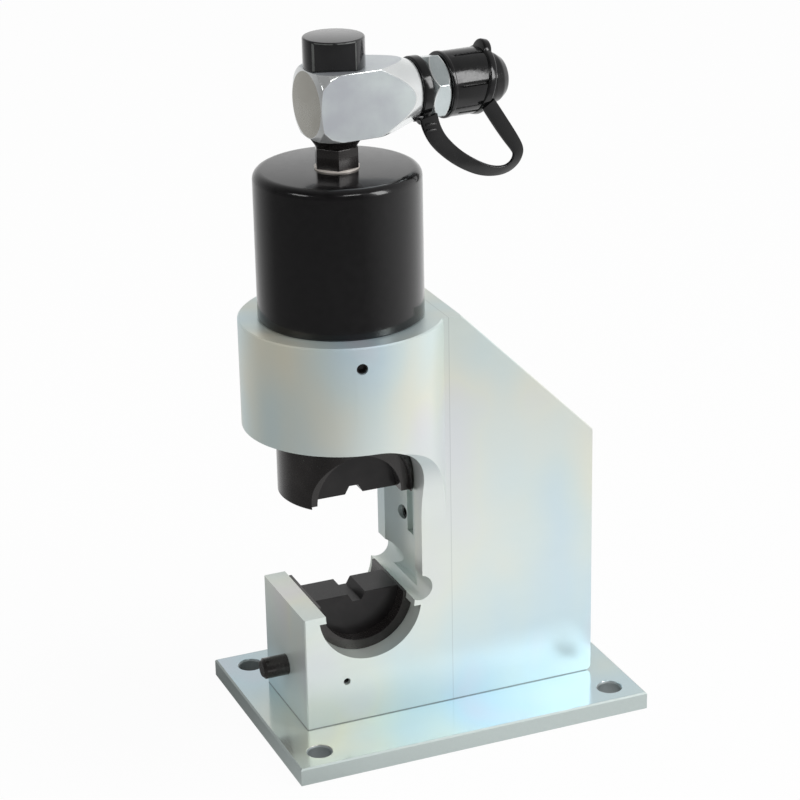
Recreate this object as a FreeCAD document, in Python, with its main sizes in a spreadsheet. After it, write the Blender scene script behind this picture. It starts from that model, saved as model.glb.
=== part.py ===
import FreeCAD, Part
import math
import os
import Sketcher

# Bench crimping head: a C-frame on a base plate, with a hydraulic ram that
# closes two half-moon dies. X runs along the base plate, the front is -Y,
# +Z is up, and the origin is the centre of the base plate's underside.

os.makedirs("parts", exist_ok=True)
doc = FreeCAD.newDocument("cable_press")
sheet = doc.addObject("Spreadsheet::Sheet", "sizes")

SIZES = [
    ("plate_length", 210, "base plate along X"),
    ("plate_width", 142, "base plate along Y"),
    ("plate_thick", 10, "base plate"),
    ("plate_chamfer", 0.8, "edges of the base plate's top"),
    ("bolt_inset_x", 16.5, "bench bolts, from the plate's ends"),
    ("bolt_inset_y", 15, "bench bolts, from the plate's long edges"),
    ("bolt_hole", 13, "bench bolt holes, diameter"),
    ("bolt_chamfer", 1, "countersunk rim of the bench bolt holes"),
    ("frame_thick", 64, "C-frame and rear block along Y"),
    ("edge_break", 0.6, "broken outer edges of the frame"),
    ("jaw_left", 86, "jaw's left face, left of the origin"),
    ("jaw_top", 77.6, "top of the jaw's arms"),
    ("throat_left", 15.7, "column's inner face, left of the origin"),
    ("seam_right", 2, "joint between C-frame and rear block"),
    ("block_right", 88.6, "rear face of the rear block"),
    ("block_rear_top", 160.4, "where the slope meets the rear face"),
    ("slope_start", 9.5, "where the slope leaves the top"),
    ("block_foot_round", 4, "rounded foot of the rear face"),
    ("ram_axis_left", 47, "ram axis, left of the origin"),
    ("collar_radius", 56, "round collar"),
    ("collar_bottom", 179.2, "underside of the collar"),
    ("collar_top", 239.8, "top of collar and column"),
    ("collar_chamfer", 0.8, "edges of the collar"),
    ("lip_thick", 4.8, "lip under the cylinder's spigot"),
    ("throat_round", 34, "fillet from throat to collar"),
    ("relief_radius", 7.3, "corner relief at the foot of the throat"),
    ("relief_left", 17.1, "relief axis, left of the origin"),
    ("relief_height", 83.6, "relief axis"),
    ("flare_bottom", 122, "where the column starts to widen towards the collar"),
    ("flare_radius", 75, "hollow curve of that widening"),
    ("channel_gap", 0.35, "room round the ram in the throat"),
    ("keyway_width", 8, "keyway in the throat"),
    ("keyway_depth", 4.2, "keyway, past the ram channel"),
    ("keyway_bottom", 102.5, "lower end of the keyway"),
    ("seat_radius", 26.4, "half-round seat in the jaw"),
    ("recess_radius", 30.4, "half-round recess in the jaw's front"),
    ("recess_depth", 16, "depth of that recess"),
    ("recess_drop", 4.2, "flat ends of the recess, below the arms"),
    ("holder_gap", 0.1, "die holder in its seat"),
    ("holder_wall", 1.7, "die holders"),
    ("holder_back", 26, "back end of the die holders, behind the ram axis"),
    ("flange_thick", 4, "flange of the die holders"),
    ("die_radius", 24.5, "half-moon dies"),
    ("die_width", 23, "half-moon dies along Y"),
    ("die_gap", 0.1, "dies in their seats"),
    ("die_flats", 9, "crimp hexagon across flats"),
    ("die_chamfer", 0.5, "edges of the lower die's face"),
    ("arch_radius", 29.4, "recess in the ram's front"),
    ("arch_lift", 4.2, "centre of that recess, above the ram's lower end"),
    ("ram_radius", 37.75, "ram"),
    ("ram_bottom", 138.6, "ram's lower end at rest"),
    ("ram_top", 302, "ram's upper end at rest"),
    ("ram_chamfer", 0.6, "edges of the ram"),
    ("ram_bore", 15.5, "spring chamber in the ram, radius"),
    ("ram_bore_bottom", 186, "floor of the spring chamber"),
    ("run_gap", 0.05, "radial clearance of running fits"),
    ("close_gap", 0.3, "clearance between bodies"),
    ("overcut", 1, "cutting tools, past the face they start from"),
    ("hole_room", 1, "blind holes, past what they hold"),
    ("long_edge", 8, "shortest edge of the frame that is broken"),
    ("cylinder_radius", 45, "black cylinder"),
    ("cylinder_top", 321.4, "top of the cylinder"),
    ("cylinder_crown", 16.4, "thickness of the closed end"),
    ("cylinder_round", 5, "rounded top edge"),
    ("cylinder_chamfer", 1, "lower edge above the collar"),
    ("spigot_radius", 42.5, "cylinder inside the collar"),
    ("port_radius", 8.3, "oil port in the closed end"),
    ("seal_height", 7, "piston seal"),
    ("seal_depth", 5, "piston seal groove"),
    ("seal_drop", 5, "piston seal below the ram's top"),
    ("guide_height", 8, "guide ring"),
    ("guide_depth", 2.5, "guide ring groove"),
    ("guide_drop", 17, "guide ring below the ram's top"),
    ("wiper_height", 5, "rod wiper"),
    ("wiper_depth", 3, "rod wiper groove"),
    ("wiper_lift", 2.2, "rod wiper above the cylinder's mouth"),
    ("groove_gap", 0.1, "rings in their grooves"),
    ("rod_radius", 4, "spring rod"),
    ("rod_bottom", 192, "lower end of the spring rod"),
    ("rod_head", 7, "head of the spring rod, radius"),
    ("rod_collar", 2.4, "threaded collar of the spring rod, each side of the ceiling"),
    ("rod_chamfer", 0.5, "lower edge of that head"),
    ("washer_radius", 12.5, "washer on the spring rod"),
    ("washer_thick", 4, "washer on the spring rod"),
    ("washer_lift", 5, "head of the spring rod, height"),
    ("retainer_inner", 7, "spring retainer, inner radius"),
    ("retainer_height", 6, "spring retainer"),
    ("retainer_drop", 1, "spring retainer below the ram's top"),
    ("spring_radius", 10.5, "return spring, mean radius"),
    ("spring_wire", 3.4, "return spring wire"),
    ("spring_turns", 6, "return spring"),
    ("spring_end_gap", 0.1, "springs, from what they press on"),
    ("key_length", 10, "ram key"),
    ("key_sunk", 4, "ram key in the ram"),
    ("key_screw", 4, "ram key screw"),
    ("key_head", 6.8, "ram key screw's head"),
    ("key_head_height", 3.2, "ram key screw's head"),
    ("key_head_sunk", 3.6, "counterbore in the ram key"),
    ("key_screw_length", 8.8, "ram key screw"),
    ("lock_screw", 6, "cylinder lock screw, diameter"),
    ("lock_screw_height", 228, "cylinder lock screw"),
    ("lock_screw_turn", 10.5, "degrees from the front towards the left"),
    ("lock_screw_sunk", 1.6, "cylinder lock screw below the collar"),
    ("socket_share", 0.43, "hexagon socket's corner radius and depth, of the screw's diameter"),
    ("thread_gap", 0.05, "radial gap drawn between threads"),
    ("frame_screw", 10, "frame screws, diameter"),
    ("frame_screw_head", 18, "frame screw heads"),
    ("frame_screw_length", 28, "frame screws"),
    ("frame_screw_sunk", 0.5, "heads below the plate's underside"),
    ("screw_jaw", 66, "frame screw under the jaw, left of the origin"),
    ("screw_column", 12, "frame screw under the column, left of the origin"),
    ("screw_block", 26, "frame screw under the rear block"),
    ("screw_rear", 70, "frame screw near the rear face"),
    ("dowel_jaw", 38, "dowel under the jaw, left of the origin"),
    ("dowel_block", 48, "dowel under the rear block"),
    ("dowel_side", 20, "dowels beside the frame's middle"),
    ("dowel_sunk", 1, "dowels above the plate's underside"),
    ("dowel", 8, "dowel pins, diameter"),
    ("dowel_length", 18, "dowel pins"),
    ("tie_screw", 5, "tie screws in the throat"),
    ("tie_head", 8.4, "tie screw heads"),
    ("tie_side", 8.7, "tie screws, behind the keyway's middle"),
    ("tie_low", 112, "lower tie screw"),
    ("tie_high", 160, "upper tie screw"),
    ("tie_sunk", 1.5, "tie screw heads below the channel"),
    ("tie_length", 16, "tie screws under the head"),
    ("release_radius", 6, "release pin"),
    ("release_height", 36.5, "release pin axis"),
    ("release_out", 14.7, "release pin outside the jaw"),
    ("release_end", 38, "inner end, left of the origin"),
    ("release_bore_end", 25, "end of its bore, left of the origin"),
    ("release_travel", 5, "push of the release pin"),
    ("release_drop", 3, "drop of the lock pin"),
    ("release_land", 2, "bottom of the cam groove"),
    ("release_chamfer", 1.5, "outer end of the release pin"),
    ("cross_radius", 2, "cross pin"),
    ("cross_left", 62, "cross pin, left of the origin"),
    ("cross_drop", 1.1, "cross pin below the release pin's axis"),
    ("cross_sunk", 2.6, "cross pin behind the front face"),
    ("cross_depth", 42, "cross pin bore from the front face"),
    ("cross_bore", 1, "bore of the cross pin, radius"),
    ("lock_radius", 3, "lock pin under the lower die"),
    ("lock_rise", 2.4, "lock pin in the lower die"),
    ("lock_chamfer", 0.6, "upper end of the lock pin"),
    ("release_wire", 1.2, "release spring wire"),
    ("release_coil", 4.2, "release spring, mean radius"),
    ("release_turns", 3, "release spring"),
    ("ball_radius", 3, "detent ball"),
    ("ball_out", 1, "detent ball below its bore"),
    ("detent_depth", 11, "detent bore above the arch"),
    ("detent_wire", 0.8, "detent spring wire"),
    ("detent_turns", 2, "detent spring"),
    ("seal_ring_radius", 12, "bonded seal"),
    ("seal_ring_thick", 1, "bonded seal"),
    ("stem_flats", 22, "swivel stem's hexagon across flats"),
    ("stem_turn", 13, "degrees, that hexagon about the stem"),
    ("stem_flare", 14, "swivel stem under the tee"),
    ("stem_neck", 10.5, "length of the hexagon"),
    ("stem_flare_height", 5, "taper above the hexagon"),
    ("stem_thread", 13, "stem in the cylinder"),
    ("post_radius", 9, "stem inside the tee"),
    ("post_thread", 8, "stem thread in the cap nut"),
    ("post_thread_length", 12, "stem thread in the cap nut"),
    ("o_ring_wire", 0.9, "O-rings, half thickness"),
    ("o_ring_groove", 1.7, "O-ring grooves, depth"),
    ("o_ring_inset", 7, "O-rings from the tee's faces"),
    ("oil_groove", 1.4, "oil groove round the stem"),
    ("oil_groove_width", 8, "oil groove round the stem"),
    ("oil_hole", 3, "oil way, radius"),
    ("oil_cross", 2.4, "cross hole in the stem, radius"),
    ("nut_radius", 16.4, "cap nut"),
    ("nut_height", 16.2, "cap nut"),
    ("nut_turn", 17, "degrees, cap nut's flats from the front towards the left"),
    ("nut_flats", 23, "cap nut across flats"),
    ("nut_rim", 1.2, "round rim above the flats"),
    ("nut_round", 1.1, "rounded top edge"),
    ("tee_turn", 4, "degrees, tee towards the back"),
    ("tee_square", 36, "tee, square bar"),
    ("tee_axis", 357.4, "tee axis"),
    ("tee_left", 16.5, "tee's flat end from the stem"),
    ("tee_left_radius", 17.5, "round flat end"),
    ("tee_left_bevel", 6.5, "turned bevel at that end"),
    ("tee_corner", 25.9, "radius at which the turned bevels leave the bar"),
    ("tee_taper_start", 17, "start of the turned taper"),
    ("tee_right", 43.5, "tee's right end from the stem"),
    ("tee_right_radius", 16.2, "tee's right end"),
    ("tee_thread", 10, "thread in the tee, radius"),
    ("tee_thread_length", 14, "thread in the tee"),
    ("ring_width", 6, "tether ring"),
    ("ring_radius", 17.5, "tether ring, outer radius"),
    ("ring_round", 0.8, "edges of the tether ring"),
    ("shank_radius", 13, "coupler under the tether ring"),
    ("hex_flats", 32, "coupler hexagon across flats"),
    ("hex_length", 10.6, "coupler hexagon"),
    ("hex_bevel", 2.8, "turned bevels of the hexagon, taken off the radius"),
    ("hex_turn", 17, "degrees, hexagon about the coupler's axis"),
    ("nose_radius", 14, "coupler nose"),
    ("nose_length", 23, "coupler nose"),
    ("nose_bore", 9, "coupler nose, bore radius"),
    ("nose_mouth", 6.5, "coupler mouth, radius"),
    ("nose_mouth_length", 5, "coupler mouth"),
    ("nose_seat", 2.5, "taper behind the mouth, closed by the poppet"),
    ("nose_chamfer", 1, "edges of the nose"),
    ("poppet_radius", 6.4, "valve poppet"),
    ("poppet_length", 9, "poppet head"),
    ("poppet_stem", 2.4, "poppet stem, radius"),
    ("poppet_sunk", 3, "end of the poppet stem, behind the nose's end"),
    ("poppet_cone", 1.7, "cone at the poppet's end"),
    ("valve_wire", 0.9, "valve spring wire"),
    ("valve_turns", 3, "valve spring"),
    ("cap_start", 60.8, "dust cap's rim from the stem"),
    ("cap_rim_radius", 18, "dust cap's rim"),
    ("cap_rim", 1.6, "width of that rim"),
    ("cap_step", 0.6, "slope behind the rim"),
    ("cap_radius", 17.3, "dust cap's sleeve"),
    ("cap_sleeve", 19.6, "dust cap's sleeve"),
    ("cap_flange", 5.6, "width of the flange"),
    ("cap_flange_radius", 18.8, "dust cap's flange"),
    ("cap_dome_radius", 14.2, "dust cap's dome"),
    ("cap_dome", 14.5, "length of the dome"),
    ("cap_dome_round", 13, "rounded end of the dome"),
    ("cap_hollow_radius", 10.5, "hollow in the dome"),
    ("cap_hollow", 4.5, "hollow in the dome, depth"),
    ("cap_bore_gap", 0.3, "dust cap on the nose"),
    ("tab_radius", 7.4, "rounded pull tab"),
    ("tab_height", 2.9, "pull tab above the flange"),
    ("rib_width", 2, "ribs of the dust cap"),
    ("rib_height", 0.7, "ribs of the dust cap"),
    ("rib_count", 12, "ribs of the dust cap"),
    ("strap_width", 9, "strap"),
    ("strap_thick", 2.8, "strap"),
    ("strap_front", 16, "strap in front of the tee's axis"),
    ("strap_bend", 0.45, "share of each run that a bend takes up"),
]

for row, (alias, value, note) in enumerate(SIZES, start=1):
    sheet.set(f"A{row}", alias)
    sheet.set(f"B{row}", str(value))
    sheet.set(f"C{row}", note)
    sheet.setAlias(f"B{row}", alias)
doc.recompute()


class Dim:
    """A length or angle: its value, and the sheet expression it comes from."""

    def __init__(self, value, text):
        self.value = value
        self.text = text

    def joined(self, other, sign, value):
        return Dim(value, f"({self.text} {sign} {other.text})")

    def __add__(self, other):
        other = dim(other)
        return self.joined(other, "+", self.value + other.value)

    def __sub__(self, other):
        other = dim(other)
        return self.joined(other, "-", self.value - other.value)

    def __mul__(self, other):
        other = dim(other)
        return self.joined(other, "*", self.value * other.value)

    def __truediv__(self, other):
        other = dim(other)
        return self.joined(other, "/", self.value / other.value)

    def __neg__(self):
        return Dim(-self.value, f"(0 - {self.text})")

    def __radd__(self, other):
        return dim(other) + self

    def __rsub__(self, other):
        return dim(other) - self

    def __rmul__(self, other):
        return dim(other) * self


def dim(number):
    """Wraps a bare number, and leaves a Dim as it is."""
    if isinstance(number, Dim):
        return number
    return Dim(float(number), repr(float(number)))


def root(size):
    """Square root."""
    return Dim(math.sqrt(size.value), f"sqrt({size.text})")


def cosine(size):
    """Cosine of an angle in degrees."""
    return Dim(math.cos(math.radians(size.value)), f"cos({size.text})")


def sine(size):
    """Sine of an angle in degrees."""
    return Dim(math.sin(math.radians(size.value)), f"sin({size.text})")


class Sheet:
    """Gives each alias of the sheet as a Dim."""

    def __getattr__(self, alias):
        return Dim(float(sheet.get(alias)), f"sizes.{alias}")


S = Sheet()
ORIGIN = (0, 0, 0)
PARTS = []
BEND = math.tan(math.pi / 6)


def vector(x, y, z):
    return FreeCAD.Vector(dim(x).value, dim(y).value, dim(z).value)


def bind(thing, **properties):
    """Binds properties such as Length or Placement__Base__x to sheet expressions."""
    for name, size in properties.items():
        thing.setExpression(name.replace("__", "."), dim(size).text)


def place(thing, at=ORIGIN, turn=None, path="Placement"):
    """Puts an object at a point, turned, with the point bound to the sheet."""
    rotation = turn or FreeCAD.Rotation()
    setattr(thing, path, FreeCAD.Placement(vector(*at), rotation))
    for axis, size in zip("xyz", at):
        if dim(size).value:
            thing.setExpression(f"{path}.Base.{axis}", dim(size).text)


def new_body(label):
    """A PartDesign body that becomes one node."""
    body = doc.addObject("PartDesign::Body", label)
    body.Label = label
    PARTS.append(body)
    return body


def new_sketch(body, name, role="XZ_Plane", offset=0):
    """A sketch on one of the body's own origin planes, offset along its normal."""
    sketch = body.newObject("Sketcher::SketchObject", name)
    plane = next(f for f in body.Origin.OriginFeatures if f.Role == role)
    sketch.AttachmentSupport = [(plane, "")]
    sketch.MapMode = "FlatFace"
    if dim(offset).value:
        place(sketch, (0, 0, offset), path="AttachmentOffset")
    return sketch


def pin(sketch, geometry, point, x, y):
    """Fixes one point of a sketch at x, y."""
    for kind, size, axis in (("DistanceX", dim(x), -2), ("DistanceY", dim(y), -1)):
        if abs(size.value) < 1e-9:
            sketch.addConstraint(Sketcher.Constraint("PointOnObject", geometry, point, axis))
            continue
        number = sketch.addConstraint(
            Sketcher.Constraint(kind, -1, 1, geometry, point, size.value)
        )
        sketch.setExpression(f"Constraints[{number}]", size.text)


def polygon(sketch, points):
    """A closed outline of straight lines, each corner fixed."""
    first = sketch.GeometryCount
    count = len(points)
    for here, there in zip(points, points[1:] + points[:1]):
        line = Part.LineSegment(vector(here[0], here[1], 0), vector(there[0], there[1], 0))
        sketch.addGeometry(line, False)
    for step in range(count):
        following = first + (step + 1) % count
        sketch.addConstraint(Sketcher.Constraint("Coincident", first + step, 2, following, 1))
    for step, (x, y) in enumerate(points):
        pin(sketch, first + step, 1, x, y)


def rectangle(sketch, left, right, low, high):
    polygon(sketch, [(left, low), (right, low), (right, high), (left, high)])


def circle(sketch, x, y, radius):
    number = sketch.addGeometry(
        Part.Circle(vector(x, y, 0), FreeCAD.Vector(0, 0, 1), dim(radius).value), False
    )
    pin(sketch, number, 3, x, y)
    constraint = sketch.addConstraint(
        Sketcher.Constraint("Radius", number, dim(radius).value)
    )
    sketch.setExpression(f"Constraints[{constraint}]", dim(radius).text)


def hexagon(sketch, x, y, flats, flat_up=True):
    """A hexagon from its width across flats."""
    half = dim(flats) / 2
    reach = half * (1 / math.cos(math.pi / 6))
    corners = [(reach, 0), (reach / 2, half), (-(reach / 2), half)]
    corners += [(-reach, 0), (-(reach / 2), -half), (reach / 2, -half)]
    if not flat_up:
        corners = [(b, a) for a, b in reversed(corners)]
    polygon(sketch, [(x + a, y + b) for a, b in corners])


def pad(body, sketch, length, symmetric=False, reverse=False):
    feature = body.newObject("PartDesign::Pad", "pad")
    feature.Profile = sketch
    if symmetric:
        feature.SideType = "Symmetric"
    feature.Reversed = reverse
    bind(feature, Length=length)
    sketch.Visibility = False
    return feature


def pocket(body, sketch, length, symmetric=False, reverse=False):
    """Cuts a sketch into the body, and stops if nothing is cut."""
    doc.recompute()
    before = body.Shape.Volume
    feature = body.newObject("PartDesign::Pocket", "pocket")
    feature.Profile = sketch
    if symmetric:
        feature.SideType = "Symmetric"
    feature.Reversed = reverse
    bind(feature, Length=length)
    doc.recompute()
    if body.Shape.Volume > before - 1e-3:
        raise ValueError(f"{body.Label}: {sketch.Label} cuts nothing")
    return feature


def revolve(body, sketch):
    feature = body.newObject("PartDesign::Revolution", "turning")
    feature.Profile = sketch
    feature.ReferenceAxis = (sketch, ["V_Axis"])
    feature.Angle = 360
    return feature


def groove(body, sketch):
    """Turns material away, and stops if nothing is cut."""
    doc.recompute()
    before = body.Shape.Volume
    feature = body.newObject("PartDesign::Groove", "turned_cut")
    feature.Profile = sketch
    feature.ReferenceAxis = (sketch, ["V_Axis"])
    feature.Angle = 360
    doc.recompute()
    if body.Shape.Volume > before - 1e-3:
        raise ValueError(f"{body.Label}: {sketch.Label} cuts nothing")
    return feature


def drill(body, radius, depth, at, turn=None):
    """A round hole with its own place and direction."""
    doc.recompute()
    before = body.Shape.Volume
    hole = body.newObject("PartDesign::SubtractiveCylinder", "drilling")
    bind(hole, Radius=radius, Height=depth)
    place(hole, at, turn)
    doc.recompute()
    if body.Shape.Volume > before - 1e-3:
        raise ValueError(f"{body.Label}: a drilling cuts nothing")
    return hole


def sink(body, small, large, depth, at, turn=None):
    """A conical countersink, from its small end to its large end."""
    cone = body.newObject("PartDesign::SubtractiveCone", "countersink")
    bind(cone, Radius1=small, Radius2=large, Height=depth)
    place(cone, at, turn)
    return cone


def edges_where(shape, test):
    """Names of the edges whose centre passes a test."""
    found = []
    for number, edge in enumerate(shape.Edges, start=1):
        if test(edge, edge.BoundBox.Center):
            found.append(f"Edge{number}")
    return found


def soften(body, kind, size, test):
    """A fillet or chamfer on the edges that pass a test."""
    doc.recompute()
    names = edges_where(body.Tip.Shape, test)
    if not names:
        raise ValueError(f"{body.Label}: no edge to soften")
    base = body.Tip
    feature = body.newObject(f"PartDesign::{kind}", kind.lower())
    feature.Base = (base, names)
    body.Tip = feature
    if kind == "Fillet":
        bind(feature, Radius=size)
    else:
        bind(feature, Size=size)
    doc.recompute()
    return feature


def turned(label, outline, at=ORIGIN, turn=None):
    """A turned piece: an outline of (radius, height) revolved about its own Z."""
    body = new_body(label)
    sketch = new_sketch(body, f"{label}_outline")
    polygon(sketch, outline)
    revolve(body, sketch)
    place(body, at, turn)
    return body


def rim_at(height, radius):
    """A test for the round edge of that radius, at that height."""
    return lambda edge, centre: near(centre.z, height) and near(edge.BoundBox.XLength, radius * 2)


def near(a, b):
    return abs(a - dim(b).value) < 1e-4


def group(label, solids):
    """One node of several separate solids, put together after the sheet is read."""
    feature = doc.addObject("Part::Feature", label)
    feature.Label = label
    feature.Shape = Part.makeCompound(solids)
    PARTS.append(feature)
    return feature


def coil(label, radius, wire, low, high, turns, at, turn=None):
    """A square-wire compression spring between two heights."""
    half = wire.value / 2
    end_gap = S.spring_end_gap.value
    height = (high - low).value - wire.value - end_gap * 2
    path = Part.Wire(Part.makeHelix(height / turns.value, height, radius.value))
    corners = [(-half, -half), (half, -half), (half, half), (-half, half), (-half, -half)]
    section = Part.makePolygon([FreeCAD.Vector(radius.value + x, 0, z) for x, z in corners])
    feature = doc.addObject("Part::Feature", label)
    feature.Label = label
    feature.Shape = path.makePipeShell([section], True, True)
    lift = FreeCAD.Placement(vector(0, 0, low.value + half + end_gap), FreeCAD.Rotation())
    feature.Placement = FreeCAD.Placement(vector(*at), turn or FreeCAD.Rotation()).multiply(lift)
    PARTS.append(feature)
    return feature


ALONG_X = FreeCAD.Rotation(FreeCAD.Vector(0, 1, 0), 90)
BACKWARDS = FreeCAD.Rotation(FreeCAD.Vector(1, 0, 0), -90)
DOWN = FreeCAD.Rotation(FreeCAD.Vector(1, 0, 0), 180)
AXIS = (-S.ram_axis_left, 0, 0)
CHANNEL = S.ram_radius + S.channel_gap
SHOULDER = S.collar_bottom + S.lip_thick
BORE = S.ram_radius + S.run_gap
FRONT = -(S.frame_thick / 2)
BOLT_X = S.plate_length / 2 - S.bolt_inset_x
BOLT_Y = S.plate_width / 2 - S.bolt_inset_y
STROKE = S.ram_bottom - S.jaw_top - S.close_gap
HOLDER_INNER = S.die_radius + S.die_gap
HOLDER_OUTER = HOLDER_INNER + S.holder_wall
RECESS_FRONT = S.frame_thick / 2 - S.recess_depth
TIES = [(S.tie_side, S.tie_low), (S.tie_side, S.tie_high)]
FRAME_SCREWS = [-S.screw_jaw, -S.screw_column, S.screw_block, S.screw_rear]
DOWELS = [(-S.dowel_jaw, S.dowel_side), (S.dowel_block, -S.dowel_side)]


def build_base_plate():
    body = new_body("base_plate")
    sketch = new_sketch(body, "plate_outline", "XY_Plane")
    long, wide = S.plate_length / 2, S.plate_width / 2
    rectangle(sketch, -long, long, -wide, wide)
    pad(body, sketch, S.plate_thick)
    soften(body, "Chamfer", S.plate_chamfer, lambda e, c: near(c.z, S.plate_thick))
    holes = new_sketch(body, "plate_holes", "XY_Plane")
    for side in (-1, 1):
        for end in (-1, 1):
            circle(holes, BOLT_X * end, BOLT_Y * side, S.bolt_hole / 2)
    for x, y in DOWELS:
        circle(holes, x, y, S.dowel / 2)
    for x in FRAME_SCREWS:
        circle(holes, x, 0, S.frame_screw / 2 + S.thread_gap)
    pocket(body, holes, S.plate_thick, reverse=True)
    rim = S.bolt_hole / 2
    for side in (-1, 1):
        for end in (-1, 1):
            at = (BOLT_X * end, BOLT_Y * side, S.plate_thick - S.bolt_chamfer)
            sink(body, rim, rim + S.bolt_chamfer, S.bolt_chamfer, at)
    head = S.frame_screw_head / 2 + S.thread_gap
    neck = S.frame_screw / 2 + S.thread_gap
    for x in FRAME_SCREWS:
        drill(body, head, S.frame_screw_sunk, (x, 0, 0))
        sink(body, neck, head, head - neck, (x, 0, S.frame_screw_sunk + head - neck), DOWN)
    doc.recompute()


def build_c_frame():
    body = new_body("c_frame")
    build_neck(body)
    side = new_sketch(body, "frame_side")
    polygon(side, [
        (-S.jaw_left, S.plate_thick), (S.seam_right, S.plate_thick),
        (S.seam_right, S.collar_top), (-S.throat_left, S.collar_top),
        (-S.throat_left, S.jaw_top), (-S.jaw_left, S.jaw_top),
    ])
    pad(body, side, S.frame_thick, symmetric=True)
    ring = new_sketch(body, "collar_ring", "XY_Plane", S.collar_bottom)
    circle(ring, -S.ram_axis_left, 0, S.collar_radius)
    pad(body, ring, S.collar_top - S.collar_bottom)
    flush = new_sketch(body, "collar_flat", "XY_Plane", S.flare_bottom)
    rectangle(flush, S.seam_right, S.collar_radius, -S.collar_radius, S.collar_radius)
    pocket(body, flush, S.collar_top, reverse=True)
    throat = new_sketch(body, "throat_fillet")
    left = -(S.throat_left + S.throat_round)
    circle(throat, left, S.collar_bottom - S.throat_round, S.throat_round)
    pocket(body, throat, S.collar_radius * 2 + S.overcut, symmetric=True)
    relief = new_sketch(body, "corner_relief")
    circle(relief, -S.relief_left, S.relief_height, S.relief_radius)
    pocket(body, relief, S.frame_thick, symmetric=True)
    seat = new_sketch(body, "die_seat")
    circle(seat, -S.ram_axis_left, S.jaw_top, S.seat_radius)
    pocket(body, seat, S.frame_thick, symmetric=True)
    build_recess(body)
    spigot = new_sketch(body, "spigot_bore", "XY_Plane", SHOULDER)
    circle(spigot, -S.ram_axis_left, 0, S.spigot_radius + S.thread_gap)
    pocket(body, spigot, S.collar_top - SHOULDER + S.overcut, reverse=True)
    channel = new_sketch(body, "ram_channel", "XY_Plane", S.jaw_top)
    circle(channel, -S.ram_axis_left, 0, CHANNEL)
    pocket(body, channel, SHOULDER - S.jaw_top, reverse=True)
    keyway = new_sketch(body, "keyway", "XY_Plane", S.keyway_bottom)
    deep = CHANNEL + S.keyway_depth - S.ram_axis_left
    half = S.keyway_width / 2
    rectangle(keyway, -S.ram_axis_left, deep, -half, half)
    pocket(body, keyway, SHOULDER - S.keyway_bottom, reverse=True)
    build_frame_holes(body)
    soften(body, "Chamfer", S.edge_break, frame_outer_edge)
    soften(body, "Chamfer", S.collar_chamfer, collar_edge)
    doc.recompute()


def build_neck(body):
    """The column below the collar: round like the collar, and flared from the sides."""
    left = -(S.throat_left + S.throat_round)
    arc_foot = S.collar_bottom - S.throat_round
    block = new_sketch(body, "neck_block")
    polygon(block, [
        (left, arc_foot), (-S.throat_left, arc_foot), (-S.throat_left, S.flare_bottom),
        (S.seam_right, S.flare_bottom), (S.seam_right, S.collar_bottom), (left, S.collar_bottom),
    ])
    pad(body, block, S.collar_radius * 2 + S.overcut, symmetric=True)
    rounded = new_sketch(body, "neck_round", "XY_Plane", S.flare_bottom)
    reach = S.collar_radius * 2
    rectangle(rounded, -reach, reach, -reach, reach)
    circle(rounded, -S.ram_axis_left, 0, S.collar_radius)
    pocket(body, rounded, S.collar_bottom - S.flare_bottom, reverse=True)
    flare = new_sketch(body, "neck_flare", "YZ_Plane")
    for side in (-1, 1):
        circle(flare, (S.frame_thick / 2 + S.flare_radius) * side, S.flare_bottom, S.flare_radius)
    pocket(body, flare, reach * 2, symmetric=True)


def build_recess(body):
    """The half-round recess in the jaw's front, flat across its top."""
    recess = new_sketch(body, "front_recess", offset=RECESS_FRONT)
    drop = S.recess_drop
    reach = root(S.recess_radius * S.recess_radius - drop * drop)
    centre = vector(-S.ram_axis_left, S.jaw_top, 0)
    start = math.pi + math.asin(drop.value / S.recess_radius.value)
    ring = Part.Circle(centre, FreeCAD.Vector(0, 0, 1), S.recess_radius.value)
    arc = recess.addGeometry(Part.ArcOfCircle(ring, start, 3 * math.pi - start), False)
    ends = [vector(-S.ram_axis_left + reach * sign, S.jaw_top - drop, 0) for sign in (1, -1)]
    line = recess.addGeometry(Part.LineSegment(*ends), False)
    recess.addConstraint(Sketcher.Constraint("Coincident", arc, 2, line, 1))
    recess.addConstraint(Sketcher.Constraint("Coincident", line, 2, arc, 1))
    recess.addConstraint(Sketcher.Constraint("Horizontal", line))
    pin(recess, arc, 3, -S.ram_axis_left, S.jaw_top)
    number = recess.addConstraint(Sketcher.Constraint("Radius", arc, S.recess_radius.value))
    recess.setExpression(f"Constraints[{number}]", S.recess_radius.text)
    level = recess.addConstraint(
        Sketcher.Constraint("DistanceY", -1, 1, line, 1, (S.jaw_top - drop).value))
    recess.setExpression(f"Constraints[{level}]", (S.jaw_top - drop).text)
    pocket(body, recess, S.recess_depth + S.overcut, reverse=True)


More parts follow.
